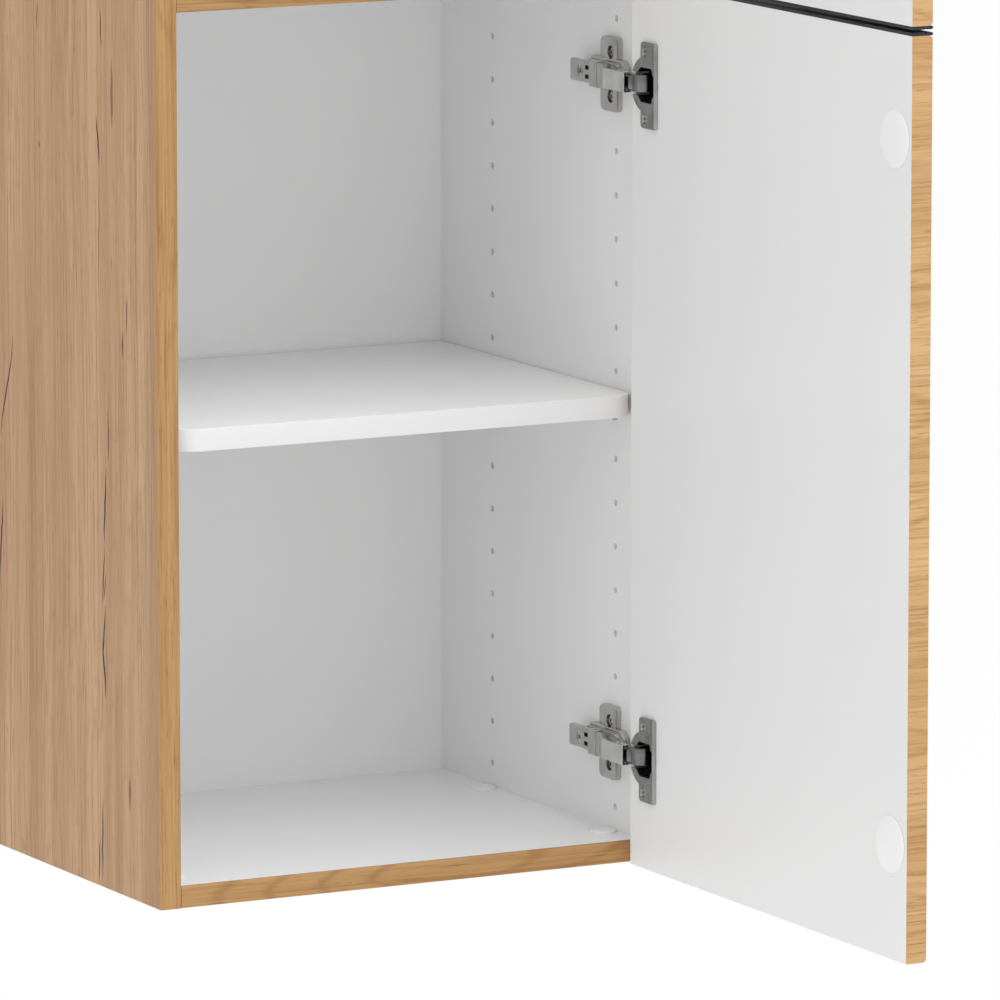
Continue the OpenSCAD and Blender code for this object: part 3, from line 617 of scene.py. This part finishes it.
def place_copies(piece, places, name):
    """One object that holds a copy of piece at each place."""
    work = bmesh.new()
    for matrix in places:
        copy = piece.data.copy()
        copy.transform(matrix)
        work.from_mesh(copy)
        bpy.data.meshes.remove(copy)
    mesh = bpy.data.meshes.new(name)
    work.to_mesh(mesh)
    work.free()
    made = bpy.data.objects.new(name, mesh)
    scene.collection.objects.link(made)
    smooth(made)
    return made


def scaled_piece(piece, name):
    """The piece turned from mm to metres under a new name; the first piece is used up."""
    made = place_copies(piece, [Matrix.Scale(MM, 4)], name)
    bpy.data.objects.remove(piece)
    return made


def finish_piece(piece, material, slot, body, *replaced):
    piece.data.materials.clear()
    piece.data.materials.append(materials[material])
    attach(piece, body)
    if replaced:
        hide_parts(*replaced)


# ---- Boards with a different surface on each face ----

PLANE_GAP = 0.2 * MM
FLAT_ENOUGH = 0.9
ROUNDED_EDGE = 3.2 * MM

def on_box(centre, box):
    """True where a face's centre lies in one of the six outer planes of a box."""
    return any(abs(centre[axis] - corner[axis]) < PLANE_GAP for corner in box for axis in range(3))


def faced_board(node, name, body, other, faces, hole_light=None):
    """A copy of a CAD board; faces lists (material, axis, value) for the flat faces in that plane,
    and every other face takes the material other, or hole_light where it lies inside the board: a paler
    lining of the bores as painted light against their shade."""
    mesh = nodes[node].data.copy()
    mesh.name = name
    piece = bpy.data.objects.new(name, mesh)
    scene.collection.objects.link(piece)
    mesh.materials.clear()
    for material in [other] + [face[0] for face in faces] + [hole_light or other]:
        mesh.materials.append(materials[material])
    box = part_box(node)
    for polygon in mesh.polygons:
        polygon.material_index = 0 if on_box(polygon.center, box) else len(faces) + 1
        for number, (material, axis, value) in enumerate(faces):
            flat = abs(polygon.normal[axis]) > FLAT_ENOUGH
            if flat and abs(polygon.center[axis] - value) < PLANE_GAP:
                polygon.material_index = number + 1
    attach(piece, body)
    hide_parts(node)
    return piece


def build_sides():
    """The side panels: oak outside, white inside, raw board at the back, and holes in a near-white
    lining as painted light against the shade in them.
    """
    for side, outer, inner in (("left", 0, 1), ("right", 1, 0)):
        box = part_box(f"{side}_side_panel")
        oak = f"oak_board_{side}"
        faces = [(oak, 0, box[outer].x), ("white_board", 0, box[inner].x)]
        faces += [(oak, 2, corner.z) for corner in box]
        panel = f"{side}_side_panel"
        board = f"{side}_side_board"
        # The bores take the near-white lining as painted light against their shade
        faced_board(panel, board, "carcass", "raw_board", faces, "hole_painted_light")


def build_level_boards():
    """The level panels: white towards the compartments, oak under the bottom and on the top."""
    for name, below, above in (("bottom", "oak_board_level", "white_board"),
                               ("top", "white_board", "oak_board_level"),
                               ("divider", "white_board", "white_board")):
        low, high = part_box(f"{name}_panel")
        faces = [(below, 2, low.z), (above, 2, high.z)]
        board = f"{name}_board"
        faced_board(f"{name}_panel", board, "carcass", "raw_board", faces)


def build_doors():
    """The door panels and their edge bands: white inside, oak outside and round the edges."""
    for level in LEVELS:
        low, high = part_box(f"{level}_door_panel")
        panel = f"{level}_door_panel"
        bands = f"{level}_door_edge_bands"
        body = f"{level}_door"
        # The door's inner face takes the darker white as painted shade
        inside = ("white_door", 0, low.x)
        faces = [inside, ("door_board", 0, high.x)]
        board = faced_board(panel, f"{level}_door_board", body, "raw_board", faces)
        for polygon in board.data.polygons:
            if polygon.center.x > high.x - ROUNDED_EDGE:
                polygon.material_index = len(faces)
        faced_board(bands, f"{level}_door_bands", body, "oak_door_edge", [inside])


# ---- Hinges: local frame in mm, X towards the side panel, Y towards the wall, Z up ----

def hinge_origin(number):
    """The point on the side panel's inner face, at the carcass front, at the hinge's middle height."""
    plate_low, plate_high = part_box(f"hinge_{number}_plate")
    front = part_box("right_side_edge_band")[0].y
    return Vector((plate_high.x, front, (plate_low.z + plate_high.z) / 2.0))


def hinge_place(number):
    return Matrix.Translation(hinge_origin(number)) @ Matrix.Scale(MM, 4)


ARM_T = 1.1
ARM_BASE = -9.0
DOOR_FACE = -13.0
HINGE_EDGE = -10.5
CUP_Y = HINGE_EDGE - 21.5
CUP_RADIUS = 17.4
FLANGE_HALF = 30.8
NOTCH_X = -7.5
CUP_SCREW_Y = CUP_Y - 1.5
CUP_SCREW_Z = 24.0
PLATE_SCREW_Y = 37.0
PLATE_SCREW_Z = 16.0
CAM_Y = 67.0

# Pins (x, y), which all run along Z
INNER_ARM_PIN = (-17.4, 0.855)
OUTER_ARM_PIN = (-16.7, -9.46)
INNER_CUP_PIN = (-9.0, -20.5)
INNER_LINE = [INNER_ARM_PIN, (-17.25, -14.0), INNER_CUP_PIN]
OUTER_LINE = [OUTER_ARM_PIN, (-15.0, -17.2), (-8.0, -24.5)]
WEB_LINE = [(-16.2, -17.6), (-15.9, -19.2), (-15.2, -21.0), (-14.2, -22.7), (-12.9, -24.2),
            (-11.4, -25.4), (-9.9, -26.2), (-8.5, -26.6)]
BAR_HALF = 1.0
WEB_THICKNESS = 0.7

# Sheet under the arm's two slots, in shadow black as painted shade seen through them: plan (y, z)
# corners and x range
SLOT_SHADE_CORNERS = [(53.4, -6.4), (61.4, -6.4), (61.4, 6.4), (53.4, 6.4)]
SLOT_SHADE_X = (-12.1, -11.3)

# Screws: head radius, dome, shank radius, length and size of the cross recess
SCREWS = {"cam": (3.7, 1.2, 2.0, 3.0, 2.4), "side": (2.4, 1.0, 1.8, 4.0, 1.5),
          "plate": (4.2, 1.6, 2.4, 13.0, 2.2), "cup": (3.2, 1.1, 1.6, 12.0, 1.9)}
# Where the screws sit: x, y, z and turn about their own axis
SCREW_SPOTS = {"cam": [(-12.4, CAM_Y, 0.0, 0.5)],
               "side": [(-13.2, 40.5, -0.2, 0.0)],
               "plate": [(-2.5, PLATE_SCREW_Y, -PLATE_SCREW_Z, 0.4),
                         (-2.5, PLATE_SCREW_Y, PLATE_SCREW_Z, 0.9)],
               "cup": [(-13.9, CUP_SCREW_Y, -CUP_SCREW_Z, 0.3),
                       (-13.9, CUP_SCREW_Y, CUP_SCREW_Z, 0.8)]}

# Faces in a second material: two corners of a box that holds them, and the material
REPAINTS = {
    # Painted shade: the plate's screw seats in dark steel, for the shade inside the recesses
    "plate": [((-4.75, 32.2, z - 4.8), (0.1, 41.8, z + 4.8), "dark_steel")
              for z in (-PLATE_SCREW_Z, PLATE_SCREW_Z)],
    # Painted highlight: the arm's front face takes the lighter nickel, where the light falls on it
    "arm": [((-21.2, -12.6, -7.5), (-20.3, 19.9, 7.5), "nickel_painted_highlight"),
            # Painted shade: the sheet under the slots and the disc under the cam hole in shadow black
            ((SLOT_SHADE_X[0] - 0.05, 50.0, -7.0), (SLOT_SHADE_X[1] + 0.05, 72.0, 7.0), "shadow_black")],
    "cup": [((-12.6, HINGE_EDGE - 37.0, -13.5), (-1.5, HINGE_EDGE - 3.0, 13.5), "shadow_black")],
}


def mirrored(half):
    """An outline whose second half mirrors the first in its second number."""
    return half + [(first, -second) for first, second in reversed(half)]


def cut(piece, solid):
    return combine(piece, solid.object("cut"), "DIFFERENCE")


def channel(y, top, half, base, radius=1.4, thick=ARM_T, steps=5):
    """Ring of a U-shaped sheet section at depth y, open towards the side panel."""
    outer = []
    inner = []
    for k in range(steps + 1):
        angle = math.radians(90.0 * k / steps)
        dx, dz = math.sin(angle), math.cos(angle)
        outer.append((top + radius - radius * dx, half - radius + radius * dz))
        small = radius - thick * 0.8
        inner.append((top + radius - small * dx, half - radius + small * dz))
    right = [(base, half)] + outer
    left = [(x, -z) for x, z in reversed(right)]
    inside_right = [(base, half - thick * 0.8)] + inner
    inside_left = [(x, -z) for x, z in reversed(inside_right)]
    path = right + left + list(reversed(inside_left)) + list(reversed(inside_right))
    return [(x, y, z) for x, z in path]


def channel_run(name, radius, stations):
    """A U-shaped sheet through stations, each (y, top, half, base)."""
    return Solid().loft([channel(*station, radius) for station in stations]).object(name)


def arm_piece():
    """Pressed steel arm: a rear channel with its screw holes, a clip over it and the front block, with a
    sheet under the slots and a disc under the cam hole that later take shadow black as painted shade.
    """
    rear = channel_run("arm_rear", 1.4, [
        (83.0, -12.7, 7.3, ARM_BASE), (82.3, -13.3, 7.8, ARM_BASE),
        (81.4, -13.5, 8.0, ARM_BASE), (47.0, -13.5, 8.0, ARM_BASE)])
    cut(rear, Solid().turn([(-16.0, 4.3), (-10.0, 4.3)], (CAM_Y, 0.0), 0, 36))
    for z, half in ((3.2, 1.5), (-3.4, 1.5)):
        corners = [(54.2, z - half), (59.6, z - half), (59.6, z + half), (54.2, z + half)]
        cut(rear, Solid().prism(rounded(corners, 0.5, 3), -16.0, -10.0, 0))
    clip = channel_run("arm_clip", 1.8, [(48.6, -16.0, 9.6, ARM_BASE), (37.5, -16.0, 9.6, ARM_BASE)])
    cut(clip, Solid().turn([(9.0, 2.0), (10.4, 2.0)], (-12.4, 41.5), 2, 24))
    front = channel_run("arm_front", 1.1, [
        (37.0, -16.0, 8.9, ARM_BASE), (32.2, -16.0, 8.7, ARM_BASE), (30.9, -16.3, 8.6, ARM_BASE),
        (19.6, -20.6, 7.5, ARM_BASE), (18.2, -20.95, 7.35, ARM_BASE), (16.5, -21.0, 7.3, ARM_BASE),
        (6.0, -21.0, 7.3, -9.6), (-3.0, -21.0, 7.3, -14.2), (-12.5, -21.0, 7.3, -14.6)])
    for part in (rear, clip, front):
        soften(part, 0.22, 2)
    # A sheet under the slots and a disc under the cam hole, which carry the painted shade seen through
    # them
    slot_shade_sheet = Solid().prism(rounded(SLOT_SHADE_CORNERS, 1.0, 3), *SLOT_SHADE_X, 0).object("slot_shade_sheet")
    cam_hole_shade = Solid().turn([(x, 3.9) for x in SLOT_SHADE_X], (CAM_Y, 0.0), 0, 32).object("cam_hole_shade")
    return merge([rear, clip, front, slot_shade_sheet, cam_hole_shade])


def arm_rivets():
    """The inner link's pin and the domed ends of both link pins on the cheeks of the arm."""
    ends = [(4.9, 1.0), (7.25, 1.0), (7.3, 1.5), (7.6, 1.35), (7.75, 0.7)]
    rivets = []
    for spot in (INNER_ARM_PIN, OUTER_ARM_PIN):
        for side in (-1.0, 1.0):
            profile = [(side * height, radius) for height, radius in ends]
            rivets.append(Solid().turn(profile, spot, 2, 24).object("rivet"))
    pin = Solid().turn([(-7.2, 1.0), (7.2, 1.0)], INNER_ARM_PIN, 2, 24).object("pin")
    return merge([pin] + rivets)


def plate_piece():
    """Die-cast mounting plate: two wings with screw seats and a stepped body under the arm."""
    wing = mirrored([(27.5, -26.9), (52.5, -26.9)])
    plate = Solid().prism(rounded(wing, [3.0, 5.0, 5.0, 3.0], 8), -4.8, 0.0, 0).object("plate")
    soften(plate, 0.4, 2, 50.0)
    lip = mirrored([(14.0, -6.0), (20.0, -11.4), (64.5, -11.4), (66.5, -8.0)])
    base = Solid().prism(rounded(lip, [2, 3, 2, 1, 1, 2, 3, 2]), -5.6, 0.0, 0).object("plate_lip")
    soften(base, 0.5, 3)
    hump = mirrored([(16.0, -4.5), (22.0, -9.0), (64.0, -9.0)])
    body = Solid().prism(rounded(hump, [2, 3, 1, 1, 3, 2]), -8.8, -0.5, 0).object("plate_body")
    soften(body, 0.6, 3)
    combine(plate, base, "UNION")
    combine(plate, body, "UNION")
    seat = [(-6.0, 5.2), (-4.6, 4.7), (-2.4, 4.7), (-2.4, 2.7), (1.0, 2.7)]
    for z in (-PLATE_SCREW_Z, PLATE_SCREW_Z):
        cut(plate, Solid().turn(seat, (PLATE_SCREW_Y, z), 0, 36))
    return plate


def cross_screw(radius, dome, shank, length, recess):
    """Screw along X with its head towards -X at 0: a domed head, a cross recess and a shank."""
    profile = [(length, shank * 0.7), (length - 1.0, shank), (0.0, shank), (0.0, radius * 0.96),
               (-dome * 0.35, radius), (-dome * 0.75, radius * 0.82), (-dome, radius * 0.45)]
    screw = Solid().turn(profile, (0.0, 0.0), 0, 32).object("screw")
    arm = recess * 0.28
    cross = [(-recess, -arm), (-arm, -arm), (-arm, -recess), (arm, -recess), (arm, -arm), (recess, -arm),
             (recess, arm), (arm, arm), (arm, recess), (-arm, recess), (-arm, arm), (-recess, arm)]
    wide = [(-dome - 1.0, y, z) for y, z in cross]
    small = [(dome * 0.9, y * 0.45, z * 0.45) for y, z in cross]
    return cut(screw, Solid().loft([wide, small]))


def moved_copy(piece, offset, turn):
    copy = bpy.data.objects.new(piece.name, piece.data.copy())
    scene.collection.objects.link(copy)
    copy.data.transform(Matrix.Translation(offset) @ Matrix.Rotation(turn, 4, "X"))
    return copy


def several(piece, spots):
    """Copies of a piece at several spots, each (x, y, z, turn), as one object; the piece is used up."""
    copies = [moved_copy(piece, spot[:3], spot[3]) for spot in spots]
    bpy.data.objects.remove(piece)
    return merge(copies)


def cup_piece():
    """Cup with its flange: a tall plate with a bevelled far edge, a collar and a stepped cavity."""
    near = HINGE_EDGE - 17.0
    far = HINGE_EDGE - 38.9
    top = -15.5
    foot = mirrored([(far, -FLANGE_HALF), (near, -FLANGE_HALF)])
    head = mirrored([(far + 1.9, -FLANGE_HALF), (near, -FLANGE_HALF)])
    rings = []
    for x, corners in ((DOOR_FACE, foot), (DOOR_FACE - 0.4, foot), (top, head)):
        rings.append([(x, y, z) for y, z in rounded(corners, [1.8, 3.0, 3.0, 1.8], 5)])
    flange = Solid().loft(rings).object("flange")
    soften(flange, 0.35, 2, 30.0)
    rim = [(DOOR_FACE, 20.2), (-14.2, 20.2), (-14.6, 19.8)]
    collar = Solid().turn(rim, (CUP_Y, 0.0), 0, 72).object("collar")
    trim = Solid().prism(mirrored([(near - 2.0, -30.0), (5.0, -30.0)]), -20.0, -5.0, 0)
    combine(collar, trim.object("trim"), "INTERSECT")
    combine(flange, collar, "UNION")
    wall = [(DOOR_FACE - 0.8, CUP_RADIUS), (-0.9, CUP_RADIUS), (-0.3, CUP_RADIUS - 0.6)]
    combine(flange, Solid().turn(wall, (CUP_Y, 0.0), 0, 72).object("cup"), "UNION")
    cavity = mirrored([
        (HINGE_EDGE - 5.2, -8.4), (HINGE_EDGE - 11.5, -8.4), (HINGE_EDGE - 15.8, -12.6),
        (HINGE_EDGE - 33.4, -12.6), (HINGE_EDGE - 34.6, -8.0), (HINGE_EDGE - 36.3, -7.4)])
    radii = [0.6, 1.0, 1.0, 1.5, 0.5, 1.0]
    cut(flange, Solid().prism(rounded(cavity, radii + radii[::-1], 3), -20.0, -2.2, 0))
    notch = mirrored([(HINGE_EDGE + 3.0, -8.4), (HINGE_EDGE - 7.0, -8.4)])
    cut(flange, Solid().prism(notch, -20.0, NOTCH_X, 0))
    seat = [(-17.0, 4.0), (-15.4, 3.6), (-13.9, 2.2), (-12.0, 1.8)]
    for z in (-CUP_SCREW_Z, CUP_SCREW_Z):
        cut(flange, Solid().turn(seat, (CUP_SCREW_Y, z), 0, 28))
    return flange


def link_bar(points, half, z0, z1, eye=2.0):
    """Bent flat bar along points, with a round eye at both ends."""
    pieces = []
    for p, q in zip(points[:-1], points[1:]):
        way = (Vector(q) - Vector(p)).normalized() * half
        side = Vector((-way.y, way.x))
        start = Vector(p) - way
        end = Vector(q) + way
        outline = rounded([start + side, start - side, end - side, end + side], half * 0.95, 4)
        pieces.append(Solid().prism(outline, z0, z1, 2).object("bar"))
    for p in (points[0], points[-1]):
        pieces.append(Solid().turn([(z0 + 0.01, eye), (z1 - 0.01, eye)], p, 2, 28).object("eye"))
    first = pieces[0]
    for other in pieces[1:]:
        combine(first, other, "UNION")
    return soften(first, 0.15, 2)


def link_web(points, thick, half_z):
    """Curved sheet that joins the two cheeks of the outer link, on the side of the cup's far wall."""
    outer = []
    inner = []
    for i, point in enumerate(points):
        before = Vector(points[max(i - 1, 0)])
        after = Vector(points[min(i + 1, len(points) - 1)])
        way = (after - before).normalized()
        side = Vector((way.y, -way.x)) * thick / 2.0
        outer.append(tuple(Vector(point) + side))
        inner.append(tuple(Vector(point) - side))
    return soften(Solid().prism(outer + inner[::-1], -half_z, half_z, 2).object("web"), 0.15, 2)


def outer_link_piece():
    """Two bent cheeks and the web between them."""
    cheeks = [link_bar(OUTER_LINE, BAR_HALF, low, high) for low, high in ((4.9, 6.0), (-6.0, -4.9))]
    return merge(cheeks + [link_web(WEB_LINE, WEB_THICKNESS, 6.0)])


def screws(kind):
    return several(cross_screw(*SCREWS[kind]), SCREW_SPOTS[kind])


def hinge_pieces():
    """One of each hinge piece in the local frame."""
    pin = [(-4.3, 0.7), (-4.1, 1.0), (4.1, 1.0), (4.3, 0.7)]
    return {
        "plate": plate_piece(),
        "arm": arm_piece(),
        "arm_pins": arm_rivets(),
        "adjusting_screws": merge([screws("cam"), screws("side")]),
        "plate_screws": screws("plate"),
        "cup": cup_piece(),
        "cup_screws": screws("cup"),
        "inner_link": link_bar(INNER_LINE, BAR_HALF, -4.3, 4.3),
        "outer_link": outer_link_piece(),
        "cup_pins": Solid().turn(pin, INNER_CUP_PIN, 2, 24).object("cup_pin"),
    }


HINGES = {"lower": (1, 2), "upper": (3, 4)}


def repaint(piece, number, low, high, material):
    """Gives another material to the faces of a hinge piece that lie wholly between two local points."""
    origin = hinge_origin(number)
    piece.data.materials.append(materials[material])
    last = len(piece.data.materials) - 1
    for polygon in piece.data.polygons:
        corners = [(piece.data.vertices[index].co - origin) / MM for index in polygon.vertices]
        if all(low[k] <= corner[k] <= high[k] for corner in corners for k in range(3)):
            polygon.material_index = last


def build_hinges():
    """Four hinges: five pieces each, and the pins and screws joined by the body they ride on."""
    parts = hinge_pieces()
    single = (("plate", "nickel", "nickel", "carcass"),
              ("arm", "nickel", "nickel", "carcass"),
              ("cup", "nickel_cup", "nickel", "{}_door"),
              # The links take dark steel as painted shade, for the shade between the arm and the cup
              ("inner_link", "dark_steel", "dark_steel", "{}_inner_links"),
              ("outer_link", "dark_steel", "dark_steel", "{}_outer_links"))
    for kind, material, slot, body in single:
        for level, numbers in HINGES.items():
            for number in numbers:
                place = hinge_place(number)
                piece = place_copies(parts[kind], [place], f"hinge_{number}_{kind}_metal")
                finish_piece(piece, material, slot, body.format(level), f"hinge_{number}_{kind}")
                for low, high, second in REPAINTS.get(kind, ()):
                    repaint(piece, number, low, high, second)
    places = {level: [hinge_place(number) for number in HINGES[level]] for level in LEVELS}
    for kind, material in (("arm_pins", "nickel"), ("adjusting_screws", "zinc_steel"),
                           ("plate_screws", "zinc_steel")):
        piece = place_copies(parts[kind], places["lower"] + places["upper"], f"{kind}_metal")
        finish_piece(piece, material, material, "carcass", kind)
    for kind, material in (("cup_pins", "nickel"), ("cup_screws", "zinc_steel")):
        for level in LEVELS:
            piece = place_copies(parts[kind], places[level], f"{level}_{kind}_metal")
            finish_piece(piece, material, material, f"{level}_door", f"{level}_{kind}")
    for piece in parts.values():
        bpy.data.objects.remove(piece)


# ---- Caps, housings and shelves ----

CAP_RADIUS = 20.0
CAP_PROFILE = [(6.0, 16.8), (5.4, 17.3), (0.0, 17.3), (0.0, 19.6), (-0.25, CAP_RADIUS),
               (-0.5, 19.9), (-0.72, 19.4), (-0.95, 17.6), (-1.2, 14.0), (-1.42, 9.0),
               (-1.55, 4.0), (-1.6, 0.6)]
COVER_PROFILE = [(-11.5, 8.8), (-0.01, 9.0), (0.0, 9.8), (0.9, 10.0), (1.5, 9.7), (1.8, 9.0),
                 (1.8, 4.2), (1.3, 3.8), (1.3, 0.5)]
COVER_INSET = 10.0
COVER_DEPTHS = (37.0, 225.0)
SHELF_RADII = [18.0, 18.0, 0.8, 0.8]
# Section of a grip profile: x from its inner face or from its outer face, and height
GRIP_INNER = [(0.0, 0.0), (0.0, 2.0), (0.4, 2.4)]
GRIP_OUTER = [(-6.6, 2.4), (-6.3, 1.7), (-5.3, 1.7), (-5.0, 2.4), (-1.5, 2.4), (-0.5, 2.0),
              (0.0, 1.2), (-0.25, 0.5), (-0.8, 0.0)]


def build_cover_caps():
    """Low domed caps over the spare cup pockets at each door's free edge."""
    for level in LEVELS:
        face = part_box(f"{level}_door_panel")[0].x / MM
        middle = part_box(f"{level}_cover_caps")[0].y / MM + CAP_RADIUS
        profile = [(face + depth, radius) for depth, radius in CAP_PROFILE]
        caps = []
        for number in HINGES[level]:
            height = hinge_origin(number).z / MM
            caps.append(Solid().turn(profile, (middle, height), 0, 72).object("cap"))
        piece = scaled_piece(merge(caps), f"{level}_cover_caps_domed")
        finish_piece(piece, "white_plastic", "white_plastic", f"{level}_door", f"{level}_cover_caps")


def build_housings():
    """Round connector covers on the level panels, with a rounded rim and a round recess."""
    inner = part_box("hinge_1_plate")[1].x / MM
    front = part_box("right_side_edge_band")[0].y / MM
    floor_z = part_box("bottom_panel")[1].z / MM
    divider_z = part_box("divider_panel")[0].z / MM
    top_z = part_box("top_panel")[0].z / MM
    covers = []
    for side in (-1.0, 1.0):
        for depth in COVER_DEPTHS:
            spot = (side * (inner - COVER_INSET), front + depth)
            for z, way in ((floor_z, 1.0), (divider_z, -1.0), (top_z, -1.0)):
                profile = [(z + way * height, radius) for height, radius in COVER_PROFILE]
                covers.append(Solid().turn(profile, spot, 2, 48).object("cover"))
    piece = scaled_piece(merge(covers), "connector_housings_moulded")
    finish_piece(piece, "white_plastic", "white_plastic", "carcass", "connector_housings")


def build_shelves():
    """Shelf boards with softly rounded edges and two large front corner radii."""
    for level in LEVELS:
        low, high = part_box(f"{level}_shelf")
        x0, y0, z0 = (value / MM for value in low)
        x1, y1, z1 = (value / MM for value in high)
        outline = rounded([(x0, y0), (x1, y0), (x1, y1), (x0, y1)], SHELF_RADII, 16)
        board = Solid().prism(outline, z0, z1, 2).object("shelf")
        soften(board, 0.6, 3, 60.0)
        piece = scaled_piece(board, f"{level}_shelf_board")
        finish_piece(piece, "white_board", "white_board", "carcass", f"{level}_shelf")
        # The shelves' front edges take the darker white as painted shade
        piece.data.materials.append(materials["white_edge"])
        for polygon in piece.data.polygons:
            if polygon.normal.y < -0.3 and abs(polygon.normal.z) < 0.7:
                polygon.material_index = 1


def build_grips():
    """Black edge profiles with a rounded lip and a groove along the face that meets the other one."""
    for level, way in (("lower", 1.0), ("upper", -1.0)):
        low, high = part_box(f"{level}_grip_profile")
        seat = (low.z if way > 0.0 else high.z) / MM
        section = [(low.x / MM + x, z) for x, z in GRIP_INNER]
        section += [(high.x / MM + x, z) for x, z in GRIP_OUTER]
        outline = [(x, seat + way * z) for x, z in section]
        profile = Solid().prism(outline, low.y / MM, high.y / MM, 1).object("profile")
        soften(profile, 0.15, 2)
        piece = scaled_piece(profile, f"{level}_grip_profile_drawn")
        finish_piece(piece, "black_profile", "black_profile", f"{level}_door", f"{level}_grip_profile")


make_camera()
make_world(HORIZON_STRENGTH, ZENITH_STRENGTH)
make_floor(FLOOR_HEIGHT, FLOOR_HALF)
make_area_light("key", location=(0.6, -3.4, 4.2), target=(0.0, -0.3, 0.5), size=2.4, power=55.0)
scene.view_settings.view_transform = "Standard"
paint_nodes()
build_sides()
build_level_boards()
build_doors()
build_hinges()
build_cover_caps()
build_housings()
build_shelves()
build_grips()
